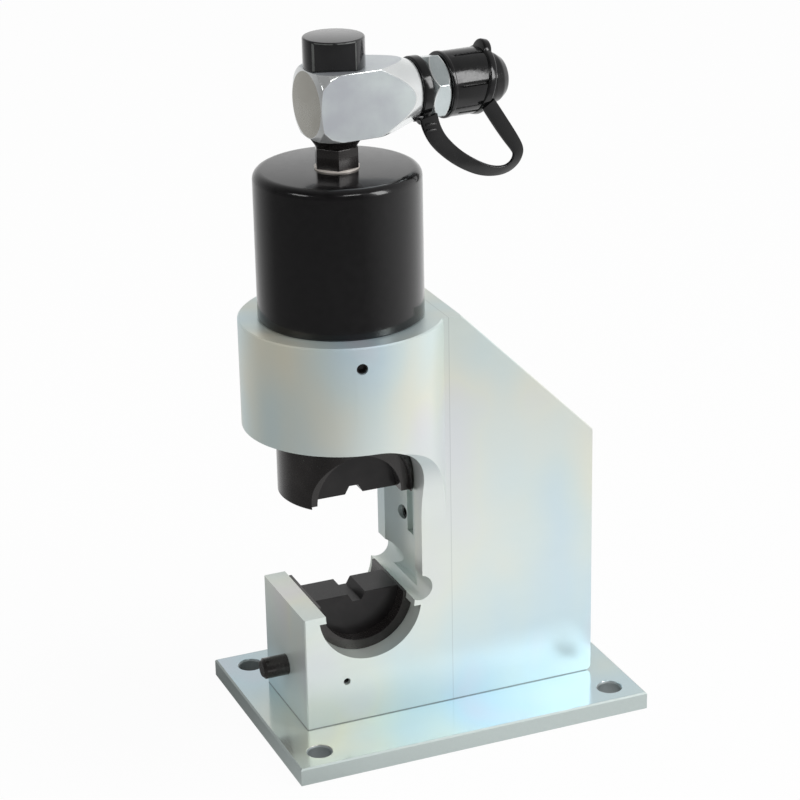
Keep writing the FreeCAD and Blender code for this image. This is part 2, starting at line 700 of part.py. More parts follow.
def build_frame_holes(body):
    """Holes for pins and screws in the C-frame."""
    reach = S.jaw_left - S.release_bore_end
    drill(body, S.release_radius + S.run_gap, reach, (-S.jaw_left, 0, S.release_height), ALONG_X)
    drill(body, S.lock_radius + S.run_gap, S.jaw_top - S.release_height,
          (-S.ram_axis_left, 0, S.release_height))
    cross_at = (-S.cross_left, FRONT, S.release_height - S.cross_drop)
    drill(body, S.cross_radius + S.thread_gap, S.cross_depth, cross_at, BACKWARDS)
    face = tie_face()
    head = S.tie_head * 2
    for y, z in TIES:
        drill(body, S.tie_head / 2 + S.thread_gap, head, (face - head, y, z), ALONG_X)
        drill(body, S.tie_screw / 2 + S.thread_gap, S.tie_length, (face, y, z), ALONG_X)
    swing = FreeCAD.Rotation(FreeCAD.Vector(0, 0, 1), -S.lock_screw_turn.value)
    forwards = FreeCAD.Rotation(FreeCAD.Vector(1, 0, 0), 90)
    drill(body, S.lock_screw / 2 + S.thread_gap, S.collar_radius,
          (-S.ram_axis_left, 0, S.lock_screw_height), swing.multiply(forwards))
    build_foot_holes(body, FRAME_SCREWS[:2], DOWELS[0])


def build_foot_holes(body, screws, dowel):
    """Holes in a foot on the base plate, for its screws and its dowel."""
    room = S.hole_room - S.plate_thick
    for x in screws:
        at = (x, 0, S.plate_thick)
        drill(body, S.frame_screw / 2 + S.thread_gap, S.frame_screw_length + room, at)
    x, y = dowel
    drill(body, S.dowel / 2, S.dowel_length + S.dowel_sunk + room, (x, y, S.plate_thick))


def tie_face():
    """X of the shelf under the tie screws' heads."""
    bore = root(CHANNEL * CHANNEL - S.tie_side * S.tie_side)
    return bore - S.ram_axis_left + S.tie_sunk + S.tie_screw


def frame_outer_edge(edge, centre):
    """Long straight outer edges of the jaw and column."""
    straight = edge.Curve.TypeId == "Part::GeomLine" and edge.Length > S.long_edge.value
    box = edge.BoundBox
    on_side = near(abs(centre.y), S.frame_thick / 2) and box.YLength < 1e-6
    left_corner = near(box.XMin, -S.jaw_left) and near(box.XMax, -S.jaw_left)
    return straight and on_side and left_corner


def collar_edge(edge, centre):
    """The outer circle of the collar's top."""
    is_round = edge.Curve.TypeId == "Part::GeomCircle"
    return is_round and near(centre.z, S.collar_top) and near(edge.Curve.Radius, S.collar_radius)


def build_rear_block():
    body = new_body("rear_block")
    side = new_sketch(body, "block_side")
    polygon(side, [
        (S.seam_right, S.plate_thick), (S.block_right, S.plate_thick),
        (S.block_right, S.block_rear_top), (S.slope_start, S.collar_top),
        (S.seam_right, S.collar_top),
    ])
    pad(body, side, S.frame_thick, symmetric=True)
    build_foot_holes(body, FRAME_SCREWS[2:], DOWELS[1])
    for y, z in TIES:
        at = (S.seam_right - S.overcut, y, z)
        drill(body, S.tie_screw / 2 + S.thread_gap, S.tie_length + S.overcut, at, ALONG_X)
    soften(body, "Fillet", S.block_foot_round, block_foot_edge)
    soften(body, "Chamfer", S.edge_break, block_outer_edge)
    doc.recompute()


def block_foot_edge(edge, centre):
    """The lower edge of the rear face."""
    at_foot = near(centre.x, S.block_right) and near(centre.z, S.plate_thick)
    return at_foot and near(edge.BoundBox.XLength, 0)


def block_outer_edge(edge, centre):
    """The slope's two long edges."""
    on_side = near(abs(centre.y), S.frame_thick / 2)
    box = edge.BoundBox
    return on_side and min(box.XLength, box.ZLength) > S.long_edge.value


def build_cylinder():
    mouth, top = SHOULDER, S.cylinder_top
    inside = top - S.cylinder_crown
    low = mouth + S.wiper_lift
    high = low + S.wiper_height
    body = turned("cylinder", [
        (BORE, mouth), (S.spigot_radius, mouth), (S.spigot_radius, S.collar_top),
        (S.cylinder_radius - S.cylinder_chamfer, S.collar_top),
        (S.cylinder_radius, S.collar_top + S.cylinder_chamfer),
        (S.cylinder_radius, top), (S.port_radius, top), (S.port_radius, inside),
        (BORE, inside), (BORE, high), (BORE + S.wiper_depth, high),
        (BORE + S.wiper_depth, low), (BORE, low),
    ], AXIS)
    soften(body, "Fillet", S.cylinder_round, rim_at(S.cylinder_top, S.cylinder_radius))


def build_rings():
    """Piston seal, guide ring and rod wiper."""
    def ring(label, inner, outer, low, high):
        turned(label, [(inner, low), (outer, low), (outer, high), (inner, high)], AXIS)
    gap = S.groove_gap
    top = S.ram_top - S.seal_drop
    ring("piston_seal", S.ram_radius - S.seal_depth + gap, S.ram_radius,
         top - S.seal_height + gap, top - gap)
    top = S.ram_top - S.guide_drop
    ring("guide_ring", S.ram_radius - S.guide_depth + gap, S.ram_radius,
         top - S.guide_height + gap, top - gap)
    low = SHOULDER + S.wiper_lift
    ring("rod_wiper", BORE, BORE + S.wiper_depth - gap, low + gap, low + S.wiper_height - gap)


def build_ram():
    seal = S.ram_top - S.seal_drop
    guide = S.ram_top - S.guide_drop
    in_seal = S.ram_radius - S.seal_depth
    in_guide = S.ram_radius - S.guide_depth
    r, low, top = S.ram_radius, S.ram_bottom, S.ram_top
    body = turned("ram", [
        (0, low), (r - S.ram_chamfer, low), (r, low + S.ram_chamfer),
        (r, guide - S.guide_height), (in_guide, guide - S.guide_height),
        (in_guide, guide), (r, guide), (r, seal - S.seal_height),
        (in_seal, seal - S.seal_height), (in_seal, seal), (r, seal),
        (r, top - S.ram_chamfer), (r - S.ram_chamfer, top), (S.ram_bore, top),
        (S.ram_bore, S.ram_bore_bottom), (0, S.ram_bore_bottom),
    ], AXIS)
    seat = new_sketch(body, "upper_seat")
    circle(seat, 0, low, HOLDER_OUTER + S.holder_gap)
    pocket(body, seat, S.ram_radius * 2, symmetric=True)
    arch = new_sketch(body, "upper_arch", offset=RECESS_FRONT)
    circle(arch, 0, low + S.arch_lift, S.arch_radius)
    pocket(body, arch, S.ram_radius, reverse=True)
    drill(body, S.ball_radius + S.run_gap, S.detent_depth + S.die_radius, (0, 0, low))
    half = S.keyway_width / 2
    bottom = key_bottom()
    slot = new_sketch(body, "key_slot", "XY_Plane", bottom - S.groove_gap)
    rectangle(slot, r - S.key_sunk, r + S.overcut, -half, half)
    pocket(body, slot, S.key_length + S.groove_gap * 2, reverse=True)
    middle = bottom + S.key_length / 2
    drill(body, S.key_screw / 2 + S.thread_gap, S.key_sunk * 2 + S.overcut,
          (r - S.key_sunk * 3, 0, middle), ALONG_X)


def key_bottom():
    """Lower end of the ram key at rest: it clears the keyway's end at full stroke."""
    return S.keyway_bottom + STROKE + S.close_gap


def build_key():
    body = new_body("ram_key")
    outline = new_sketch(body, "key_outline", "XY_Plane", key_bottom())
    left = S.ram_radius - S.key_sunk + S.groove_gap
    right = CHANNEL + S.keyway_depth - S.close_gap
    half = S.keyway_width / 2 - S.run_gap
    rectangle(outline, left, right, -half, half)
    pad(body, outline, S.key_length)
    place(body, AXIS)
    middle = key_bottom() + S.key_length / 2
    drill(body, S.key_screw / 2 + S.thread_gap, right - left + S.overcut,
          (left - S.overcut, 0, middle), ALONG_X)
    shelf = right - S.key_head_sunk
    drill(body, S.key_head / 2 + S.groove_gap, S.key_head_sunk + S.overcut, (shelf, 0, middle), ALONG_X)
    screw = cap_screw(S.key_screw, S.key_head, S.key_head_height, S.key_screw_length)
    screw.rotate(FreeCAD.Vector(), FreeCAD.Vector(0, 1, 0), 90)
    screw.translate(vector(shelf - S.ram_axis_left, 0, middle))
    group("key_screw", [screw])


def cap_screw(size, head, head_height, length):
    """A socket cap screw along -Z, the underside of its head at the origin."""
    shank = Part.makeCylinder(size.value / 2, length.value, FreeCAD.Vector(0, 0, -length.value))
    top = Part.makeCylinder(head.value / 2, head_height.value)
    return shank.fuse(top).removeSplitter().cut(socket(size, head_height.value))


def socket(size, top):
    """A hexagon socket that opens upwards at a height."""
    reach = size.value * S.socket_share.value
    points = [FreeCAD.Vector(x, y, top - reach) for x, y in six_corners(reach)]
    return Part.Face(Part.makePolygon(points)).extrude(FreeCAD.Vector(0, 0, reach + S.overcut.value))


def six_corners(reach):
    """The corners of a hexagon about the origin, the first one again at the end."""
    turns = [math.pi / 3 * number for number in range(7)]
    return [(reach * math.cos(turn), reach * math.sin(turn)) for turn in turns]


def build_return_spring():
    rod_top = S.cylinder_top - S.cylinder_crown
    washer = S.rod_bottom + S.washer_lift
    neck = S.rod_radius
    turned("spring_rod", [
        (0, S.rod_bottom), (S.rod_head - S.rod_chamfer, S.rod_bottom),
        (S.rod_head, S.rod_bottom + S.rod_chamfer),
        (S.rod_head, washer), (neck, washer), (neck, rod_top - S.rod_collar),
        (S.port_radius - S.thread_gap, rod_top - S.rod_collar),
        (S.port_radius - S.thread_gap, rod_top + S.rod_collar), (0, rod_top + S.rod_collar),
    ], AXIS)
    turned("spring_washer", [
        (neck + S.groove_gap, washer), (S.washer_radius, washer),
        (S.washer_radius, washer + S.washer_thick), (neck + S.groove_gap, washer + S.washer_thick),
    ], AXIS)
    top = S.ram_top - S.retainer_drop
    turned("spring_retainer", [
        (S.retainer_inner, top - S.retainer_height), (S.ram_bore - S.thread_gap, top - S.retainer_height),
        (S.ram_bore - S.thread_gap, top), (S.retainer_inner, top),
    ], AXIS)
    coil("return_spring", S.spring_radius, S.spring_wire, washer + S.washer_thick,
         top - S.retainer_height, S.spring_turns, AXIS)


def build_dies():
    rise = S.die_flats / 2
    wide = rise * BEND * 2
    narrow = rise * BEND
    for label, up in (("lower_die", -1), ("upper_die", 1)):
        body = new_body(label)
        disc = new_sketch(body, f"{label}_disc")
        circle(disc, 0, 0, S.die_radius)
        pad(body, disc, S.die_width, symmetric=True)
        spare = new_sketch(body, f"{label}_face")
        reach = S.die_radius + S.overcut
        points = [(-reach, 0), (-wide, 0), (-narrow, rise * up), (narrow, rise * up), (wide, 0),
                  (reach, 0), (reach, -(reach * up)), (-reach, -(reach * up))]
        polygon(spare, points)
        pocket(body, spare, S.die_width + S.overcut, symmetric=True)
    lower, upper = (next(b for b in PARTS if b.Label == n) for n in ("lower_die", "upper_die"))
    place(lower, (-S.ram_axis_left, 0, S.jaw_top))
    place(upper, (-S.ram_axis_left, 0, S.ram_bottom))
    drill(lower, S.lock_radius + S.close_gap, S.lock_rise + S.close_gap + S.overcut,
          (0, 0, -(S.die_radius + S.overcut)))
    ball = S.die_radius + S.die_gap + S.ball_radius - S.ball_out
    dimple = upper.newObject("PartDesign::SubtractiveSphere", "dimple")
    bind(dimple, Radius=S.ball_radius + S.close_gap)
    place(dimple, (0, 0, ball))
    soften(lower, "Chamfer", S.die_chamfer, lambda e, c: near(c.z, 0) and near(e.BoundBox.YLength, 0))
    doc.recompute()


def build_detent():
    middle = S.ram_bottom + S.die_radius + S.die_gap + S.ball_radius - S.ball_out
    ball = doc.addObject("Part::Sphere", "detent_ball")
    ball.Label = "detent_ball"
    bind(ball, Radius=S.ball_radius)
    place(ball, (-S.ram_axis_left, 0, middle))
    PARTS.append(ball)
    top = S.ram_bottom + S.die_radius + S.detent_depth
    coil("detent_spring", S.ball_radius - S.detent_wire, S.detent_wire,
         middle + S.ball_radius, top, S.detent_turns, AXIS)


def build_holder(label, up, level, rim, lift, drop, hole):
    """A half-round die holder with a flange; up is -1 in the jaw and 1 in the ram."""
    body = new_body(label)
    wide = rim + S.overcut
    flange = new_sketch(body, f"{label}_flange", offset=RECESS_FRONT)
    circle(flange, 0, lift, rim)
    pad(body, flange, S.flange_thick)
    ends = new_sketch(body, f"{label}_ends")
    rectangle(ends, -wide, wide, drop * up, -(wide * up))
    pocket(body, ends, S.frame_thick * 2, symmetric=True)
    sleeve = new_sketch(body, f"{label}_sleeve", offset=-S.holder_back)
    circle(sleeve, 0, 0, HOLDER_OUTER)
    pad(body, sleeve, S.holder_back + RECESS_FRONT + S.flange_thick)
    half = new_sketch(body, f"{label}_half")
    rectangle(half, -wide, wide, 0, -(wide * up))
    pocket(body, half, S.frame_thick * 2, symmetric=True)
    bore = new_sketch(body, f"{label}_bore")
    circle(bore, 0, 0, HOLDER_INNER)
    pocket(body, bore, S.frame_thick * 2, symmetric=True)
    place(body, (-S.ram_axis_left, 0, level))
    low = HOLDER_INNER - S.holder_wall if up > 0 else -(HOLDER_OUTER + S.holder_wall)
    drill(body, hole, S.holder_wall * 3, (0, 0, low))


def build_die_holders():
    build_holder("die_holder", -1, S.jaw_top, S.recess_radius - S.holder_gap * 2, 0,
                 S.recess_drop + S.holder_gap, S.lock_radius + S.close_gap)
    build_holder("upper_holder", 1, S.ram_bottom, S.arch_radius - S.holder_gap * 2, S.arch_lift,
                 0, S.ball_radius + S.close_gap)


def flat_screw(size, head, length):
    """A countersunk screw along -Z, the top of its head at the origin."""
    high = (head.value - size.value) / 2
    cone = Part.makeCone(size.value / 2, head.value / 2, high, FreeCAD.Vector(0, 0, -high))
    shank = Part.makeCylinder(size.value / 2, length.value, FreeCAD.Vector(0, 0, -length.value))
    return shank.fuse(cone).removeSplitter().cut(socket(size, 0))


def build_frame_fasteners():
    screws = []
    for x in FRAME_SCREWS:
        screw = flat_screw(S.frame_screw, S.frame_screw_head, S.frame_screw_length)
        screw.rotate(FreeCAD.Vector(), FreeCAD.Vector(1, 0, 0), 180)
        screw.translate(vector(x, 0, S.frame_screw_sunk))
        screws.append(screw)
    group("frame_screws", screws)
    pins = []
    for x, y in DOWELS:
        pins.append(Part.makeCylinder(S.dowel.value / 2, S.dowel_length.value, vector(x, y, S.dowel_sunk)))
    group("dowel_pins", pins)
    ties = []
    for y, z in TIES:
        screw = cap_screw(S.tie_screw, S.tie_head, S.tie_screw, S.tie_length)
        screw.rotate(FreeCAD.Vector(), FreeCAD.Vector(0, 1, 0), -90)
        screw.translate(vector(tie_face(), y, z))
        ties.append(screw)
    group("tie_screws", ties)
    outer = S.collar_radius - S.lock_screw_sunk
    length = (outer - S.spigot_radius - S.close_gap).value
    grub = Part.makeCylinder(S.lock_screw.value / 2, length, FreeCAD.Vector(0, 0, -length))
    grub = grub.cut(socket(S.lock_screw, 0))
    grub.rotate(FreeCAD.Vector(), FreeCAD.Vector(1, 0, 0), 90)
    grub.translate(vector(0, -outer, 0))
    grub.rotate(FreeCAD.Vector(), FreeCAD.Vector(0, 0, 1), -S.lock_screw_turn.value)
    grub.translate(vector(-S.ram_axis_left, 0, S.lock_screw_height))
    group("cylinder_lock_screw", [grub])


def build_release():
    """Release pin with its cam groove, cross pin, lock pin and spring."""
    r = S.release_radius
    neck = r - S.release_drop
    end = S.release_end - S.ram_axis_left
    start = S.ram_axis_left - S.jaw_left - S.release_out
    body = turned("release_pin", [
        (0, start), (r - S.release_chamfer, start), (r, start + S.release_chamfer),
        (r, -(S.release_travel + S.release_land + S.release_drop)),
        (neck, -(S.release_travel + S.release_land)), (neck, -S.release_travel),
        (r, 0), (r, -end), (0, -end),
    ], (-S.ram_axis_left, 0, S.release_height), ALONG_X)
    left = S.ram_axis_left - S.cross_left - S.cross_radius - S.close_gap - S.release_travel
    right = S.ram_axis_left - S.cross_left + S.cross_radius + S.close_gap
    slot = new_sketch(body, "cross_slot", "XZ_Plane")
    rectangle(slot, S.cross_drop - S.cross_radius - S.close_gap, r + S.overcut, left, right)
    pocket(body, slot, r * 3, symmetric=True)
    pin_at = (-S.cross_left, FRONT + S.cross_sunk, S.release_height - S.cross_drop)
    bore = S.cross_bore
    long = S.cross_depth - S.cross_sunk - S.hole_room
    cross = turned("cross_pin", [(bore, 0), (S.cross_radius, 0), (S.cross_radius, long), (bore, long)],
                   pin_at, BACKWARDS)
    split = new_sketch(cross, "cross_split", "XY_Plane")
    rectangle(split, 0, S.cross_radius * 2, -(bore / 2), bore / 2)
    pocket(cross, split, long, reverse=True)
    low = S.release_height + r + S.close_gap
    high = S.jaw_top - S.die_radius - S.die_gap + S.lock_rise
    lock = S.lock_radius
    turned("lock_pin", [
        (0, low), (lock, low + lock), (lock, high - S.lock_chamfer), (lock - S.lock_chamfer, high),
        (0, high),
    ], AXIS)
    coil("release_spring", S.release_coil, S.release_wire, dim(0), S.release_end - S.release_bore_end,
         S.release_turns, (-S.release_end, 0, S.release_height), ALONG_X)


def build_stem():
    top = S.cylinder_top
    base = top + S.seal_ring_thick
    flare = base + S.stem_neck + S.stem_flare_height
    post = tee_low() + S.tee_square
    turned("bonded_seal", [
        (S.port_radius + S.close_gap, top), (S.seal_ring_radius, top), (S.seal_ring_radius, base),
        (S.port_radius + S.close_gap, base),
    ], AXIS)
    gap = S.groove_gap
    in_ring = S.post_radius - S.o_ring_groove
    half = S.o_ring_wire + gap
    lower = tee_low() + S.o_ring_inset
    upper = post - S.o_ring_inset
    oil = S.post_radius - S.oil_groove
    wide = S.oil_groove_width / 2
    thread = S.port_radius - S.thread_gap
    axis = S.tee_axis
    seat = tee_low() - S.close_gap
    neck = S.stem_flats / 2 - gap
    spin = FreeCAD.Rotation(FreeCAD.Vector(0, 0, 1), S.stem_turn.value)
    body = turned("swivel_stem", [
        (S.oil_hole, top - S.stem_thread), (thread, top - S.stem_thread), (thread, base),
        (neck, base), (neck, base + S.stem_neck), (S.stem_flare, flare),
        (S.stem_flare, seat), (S.post_radius, seat),
        (S.post_radius, lower - half), (in_ring, lower - half), (in_ring, lower + half),
        (S.post_radius, lower + half), (S.post_radius, axis - wide), (oil, axis - wide),
        (oil, axis + wide), (S.post_radius, axis + wide),
        (S.post_radius, upper - half), (in_ring, upper - half), (in_ring, upper + half),
        (S.post_radius, upper + half), (S.post_radius, post + S.close_gap),
        (S.post_thread, post + S.close_gap), (S.post_thread, post + S.post_thread_length),
        (0, post + S.post_thread_length), (0, axis + wide), (S.oil_hole, axis + wide),
    ], AXIS, spin)
    wrench = new_sketch(body, "wrench_hexagon", "XY_Plane", base)
    hexagon(wrench, 0, 0, S.stem_flats)
    circle(wrench, 0, 0, neck - gap)
    pad(body, wrench, S.stem_neck)
    across = S.post_radius + S.overcut
    drill(body, S.oil_cross, across * 2, (-across, 0, axis), ALONG_X)
    middle = (in_ring + S.post_radius + S.run_gap) / 2
    reach = (S.post_radius + S.run_gap - in_ring) / 2 - S.run_gap / 2
    rings = []
    for z in (lower, upper):
        corners = [vector(middle + x, 0, z + y) for x, y in six_corners(reach.value)]
        ring = Part.Face(Part.makePolygon(corners)).revolve(FreeCAD.Vector(), FreeCAD.Vector(0, 0, 1))
        ring.translate(vector(-S.ram_axis_left, 0, 0))
        rings.append(ring)
    group("stem_o_rings", rings)
    low = post + S.close_gap
    high = low + S.nut_height
    end = low + S.post_thread_length + S.close_gap
    nut = turned("stem_cap_nut", [
        (S.post_thread + S.thread_gap, low), (S.nut_radius, low), (S.nut_radius, high),
        (0, high), (0, end), (S.post_thread + S.thread_gap, end),
    ], AXIS, FreeCAD.Rotation(FreeCAD.Vector(0, 0, 1), -S.nut_turn.value))
    soften(nut, "Fillet", S.nut_round, rim_at(high, S.nut_radius))
    flats = new_sketch(nut, "wrench_flats", "XY_Plane", low)
    for side in (-1, 1):
        inner, outer = S.nut_flats / 2 * side, (S.nut_radius + S.overcut) * side
        rectangle(flats, -S.nut_radius, S.nut_radius, inner, outer)
    pocket(nut, flats, S.nut_height - S.nut_rim, reverse=True)


def tee_low():
    """Z of the tee's lower face."""
    return S.tee_axis - S.tee_square / 2


def tee_turn():
    """Turns a piece whose Z axis is its own length into the tee's direction."""
    swing = FreeCAD.Rotation(FreeCAD.Vector(0, 0, 1), S.tee_turn.value)
    return swing.multiply(ALONG_X)


TEE_AT = (-S.ram_axis_left, 0, S.tee_axis)


def build_tee():
    body = new_body("swivel_tee")
    square = new_sketch(body, "tee_square_bar", "XY_Plane", -S.tee_left)
    half = S.tee_square / 2
    rectangle(square, -half, half, -half, half)
    pad(body, square, S.tee_left + S.tee_right)
    corner = S.tee_corner
    wide = S.tee_square
    left = new_sketch(body, "left_bevel")
    polygon(left, [
        (S.tee_left_radius, -(S.tee_left + S.overcut)), (S.tee_left_radius, -S.tee_left),
        (corner, -(S.tee_left - S.tee_left_bevel)), (wide, -(S.tee_left - S.tee_left_bevel)),
        (wide, -(S.tee_left + S.overcut)),
    ])
    groove(body, left)
    right = new_sketch(body, "right_taper")
    polygon(right, [
        (corner, S.tee_taper_start), (S.tee_right_radius, S.tee_right),
        (S.tee_right_radius, S.tee_right + S.overcut), (wide, S.tee_right + S.overcut),
        (wide, S.tee_taper_start),
    ])
    groove(body, right)
    drill(body, S.post_radius + S.run_gap, (half + S.overcut) * 2, (half + S.overcut, 0, 0),
          FreeCAD.Rotation(FreeCAD.Vector(0, 1, 0), -90))
    drill(body, S.poppet_radius, S.tee_right, (0, 0, 0))
    drill(body, S.tee_thread, S.tee_thread_length + S.overcut,
          (0, 0, S.tee_right - S.tee_thread_length))
    place(body, TEE_AT, tee_turn())
    doc.recompute()


def build_coupler():
    shank = S.tee_right
    hexa = shank + S.ring_width + S.close_gap * 2
    nose = hexa + S.hex_length
    tip = nose + S.nose_length
    mouth = tip - S.nose_mouth_length
    low = nose - S.hex_length / 2
    thread = S.tee_thread - S.thread_gap
    edge = S.nose_chamfer
    root_end = shank - S.tee_thread_length + S.hole_room
    points = [
        (S.oil_hole, root_end), (thread, root_end), (thread, shank), (S.shank_radius, shank),
        (S.shank_radius, nose - edge), (S.nose_radius, nose - edge), (S.nose_radius, tip - edge),
        (S.nose_radius - edge, tip), (S.nose_mouth, tip), (S.nose_mouth, mouth),
        (S.nose_bore, mouth - S.nose_seat), (S.nose_bore, low), (S.oil_hole, low),
    ]
    spin = FreeCAD.Rotation(FreeCAD.Vector(0, 0, 1), S.hex_turn.value)
    body = turned("coupler_body", points, TEE_AT, tee_turn().multiply(spin))
    nut = new_sketch(body, "hexagon", "XY_Plane", hexa)
    hexagon(nut, 0, 0, S.hex_flats)
    circle(nut, 0, 0, S.shank_radius - S.close_gap)
    pad(body, nut, S.hex_length)
    corner = S.hex_flats * BEND
    cut = S.hex_bevel
    for start, end, name in ((hexa, hexa + cut / 2, "near"), (nose, nose - cut / 2, "far")):
        bevel = new_sketch(body, f"{name}_bevel")
        polygon(bevel, [
            (corner - cut, start), (corner + S.overcut, start), (corner + S.overcut, end), (corner, end),
        ])
        groove(body, bevel)
    build_valve(low, mouth, tip)


def build_valve(low, mouth, tip):
    """Poppet that closes the coupler's mouth from inside, and its spring."""
    gap = S.close_gap
    seat = mouth - S.nose_seat
    back = seat - S.poppet_length
    head = S.nose_bore - S.run_gap * 2
    end = tip - S.poppet_sunk
    turned("valve_poppet", [
        (0, back), (head, back), (head, seat - gap * 2), (S.poppet_radius - gap, mouth - gap),
        (S.poppet_radius - gap, end - S.poppet_cone), (S.poppet_stem, end), (0, end),
    ], TEE_AT, tee_turn())
    coil("valve_spring", S.nose_bore - S.valve_wire, S.valve_wire, low, back, S.valve_turns,
         TEE_AT, tee_turn())


def build_cap():
    """Tether ring, strap and dust cap, one rubber moulding on the real part."""
    start = S.tee_right + S.close_gap
    end = start + S.ring_width
    within = S.shank_radius + S.groove_gap
    turned("tether_ring", [
        (within, start), (S.ring_radius - S.ring_round, start), (S.ring_radius, start + S.ring_round),
        (S.ring_radius, end - S.ring_round), (S.ring_radius - S.ring_round, end), (within, end),
    ], TEE_AT, tee_turn())
    rim = S.cap_start + S.cap_rim
    flange = S.cap_start + S.cap_sleeve
    dome = flange + S.cap_flange
    tip = S.tee_right + S.ring_width + S.close_gap * 2 + S.hex_length + S.nose_length
    inner = S.nose_radius + S.cap_bore_gap
    body = turned("dust_cap", [
        (inner, S.cap_start), (S.cap_rim_radius, S.cap_start), (S.cap_rim_radius, rim),
        (S.cap_radius, rim + S.cap_step), (S.cap_radius, flange), (S.cap_flange_radius, flange),
        (S.cap_flange_radius, dome), (S.cap_dome_radius, dome), (S.cap_dome_radius, dome + S.cap_dome),
        (0, dome + S.cap_dome), (0, tip + S.close_gap), (inner, tip + S.close_gap),
    ], TEE_AT, tee_turn())
    soften(body, "Fillet", S.cap_dome_round, rim_at(dome + S.cap_dome, S.cap_dome_radius))
    rib = new_sketch(body, "rib", "XY_Plane", rim)
    half = S.rib_width / 2
    rectangle(rib, S.cap_radius - S.rib_height, S.cap_radius + S.rib_height, -half, half)
    rise = pad(body, rib, flange - rim)
    doc.recompute()
    ribs = body.newObject("PartDesign::PolarPattern", "ribs")
    ribs.Originals = [rise]
    ribs.Axis = (rib, ["N_Axis"])
    ribs.Angle = 360
    bind(ribs, Occurrences=S.rib_count)
    body.Tip = ribs
    tab = new_sketch(body, "pull_tab", "XY_Plane", flange)
    circle(tab, -(S.cap_flange_radius + S.tab_height - S.tab_radius), 0, S.tab_radius)
    pad(body, tab, S.cap_flange)
    floor = tip + S.close_gap
    drill(body, inner, floor - S.cap_start, (0, 0, S.cap_start))
    drill(body, S.cap_hollow_radius, S.cap_hollow + S.overcut, (0, 0, floor - S.overcut))


STRAP_ROUTE = [(46.2, -11.3), (48.2, -21), (56.2, -30.6), (65.5, -38.2), (75, -43.8), (82.5, -46.8),
               (91.5, -47.8), (98, -44.5), (100.6, -38.8), (98.7, -34.6), (91.6, -24.6), (84, -13.8)]


def build_strap():
    """The flat strap: straight runs joined by tangent arcs, in one upright plane."""
    swing = FreeCAD.Rotation(FreeCAD.Vector(0, 0, 1), S.tee_turn.value)
    route = [FreeCAD.Vector(along, 0, up) for along, up in STRAP_ROUTE]
    edges = []
    here = route[0]
    for before, corner, after in zip(route, route[1:], route[2:]):
        back = (before - corner).normalize()
        ahead = (after - corner).normalize()
        trim = S.strap_bend.value * min((before - corner).Length, (after - corner).Length)
        enter = corner + back * trim
        leave = corner + ahead * trim
        bend = math.pi - back.getAngle(ahead)
        radius = trim / math.tan(bend / 2)
        centre = corner + (back + ahead).normalize() * (radius / math.cos(bend / 2))
        middle = centre + (corner - centre).normalize() * radius
        edges.append(Part.LineSegment(here, enter).toShape())
        edges.append(Part.Arc(enter, middle, leave).toShape())
        here = leave
    edges.append(Part.LineSegment(here, route[-1]).toShape())
    path = Part.Wire(edges)
    first = (route[1] - route[0]).normalize()
    across = FreeCAD.Vector(0, 1, 0)
    flat = first.cross(across)
    wide, thick = S.strap_width.value / 2, S.strap_thick.value / 2
    signs = ((1, 1), (-1, 1), (-1, -1), (1, -1), (1, 1))
    corners = [route[0] + flat * (wide * a) + across * (thick * b) for a, b in signs]
    section = Part.makePolygon(corners)
    strap = path.makePipeShell([section], True, False)
    feature = doc.addObject("Part::Feature", "cap_strap")
    feature.Label = "cap_strap"
    feature.Shape = strap
    spot = swing.multVec(FreeCAD.Vector(0, -S.strap_front.value, 0))
    feature.Placement = FreeCAD.Placement(vector(*TEE_AT) + spot, swing)
    PARTS.append(feature)


build_base_plate()
build_c_frame()
build_rear_block()
build_cylinder()
build_rings()
build_ram()
build_key()
build_return_spring()
build_dies()
build_detent()
build_die_holders()
build_frame_fasteners()
build_release()
build_stem()
build_tee()
build_coupler()
build_cap()
build_strap()

doc.recompute()
for item in doc.Objects:
    if "Invalid" in item.State or "Error" in item.State:
        raise ValueError(f"{item.Label} failed: {item.State}")
for item in PARTS:
    if item.Shape.isNull() or not item.Shape.isValid():
        raise ValueError(f"{item.Label} has no valid shape")
    item.Shape.exportStep(f"parts/{item.Label}.step")
    print(item.Label, len(item.Shape.Solids), round(item.Shape.Volume))
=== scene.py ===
# %% [markdown]
# # A bench crimping tool, dressed for a studio picture
#
# The steelwork was drawn in CAD: a C-frame on a base plate, a black cylinder
# that pushes a ram down, and a swivelling hose coupling on top. This lesson
# loads those solids, gives every surface its finish, and remodels the pieces
# whose soft or rounded shapes a CAD mesh shows poorly.

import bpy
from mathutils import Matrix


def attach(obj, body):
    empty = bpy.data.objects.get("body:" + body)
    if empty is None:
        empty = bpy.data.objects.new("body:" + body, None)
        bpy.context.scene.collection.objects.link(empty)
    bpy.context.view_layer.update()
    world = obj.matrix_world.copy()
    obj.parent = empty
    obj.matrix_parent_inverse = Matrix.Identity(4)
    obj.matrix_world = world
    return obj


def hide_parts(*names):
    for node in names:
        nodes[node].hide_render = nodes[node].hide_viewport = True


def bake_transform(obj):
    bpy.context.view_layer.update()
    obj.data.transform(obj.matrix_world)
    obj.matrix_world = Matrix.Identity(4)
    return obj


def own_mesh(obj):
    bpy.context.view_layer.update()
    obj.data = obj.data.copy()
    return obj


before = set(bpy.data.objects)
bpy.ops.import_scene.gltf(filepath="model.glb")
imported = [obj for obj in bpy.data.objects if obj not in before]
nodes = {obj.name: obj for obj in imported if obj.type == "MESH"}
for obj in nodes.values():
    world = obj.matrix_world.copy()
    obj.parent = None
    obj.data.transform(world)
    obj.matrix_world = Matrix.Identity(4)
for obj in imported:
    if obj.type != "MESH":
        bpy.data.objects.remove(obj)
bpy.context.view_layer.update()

# %% Tools used all through
import math

import bpy
from mathutils import Matrix, Vector

MM = 0.001

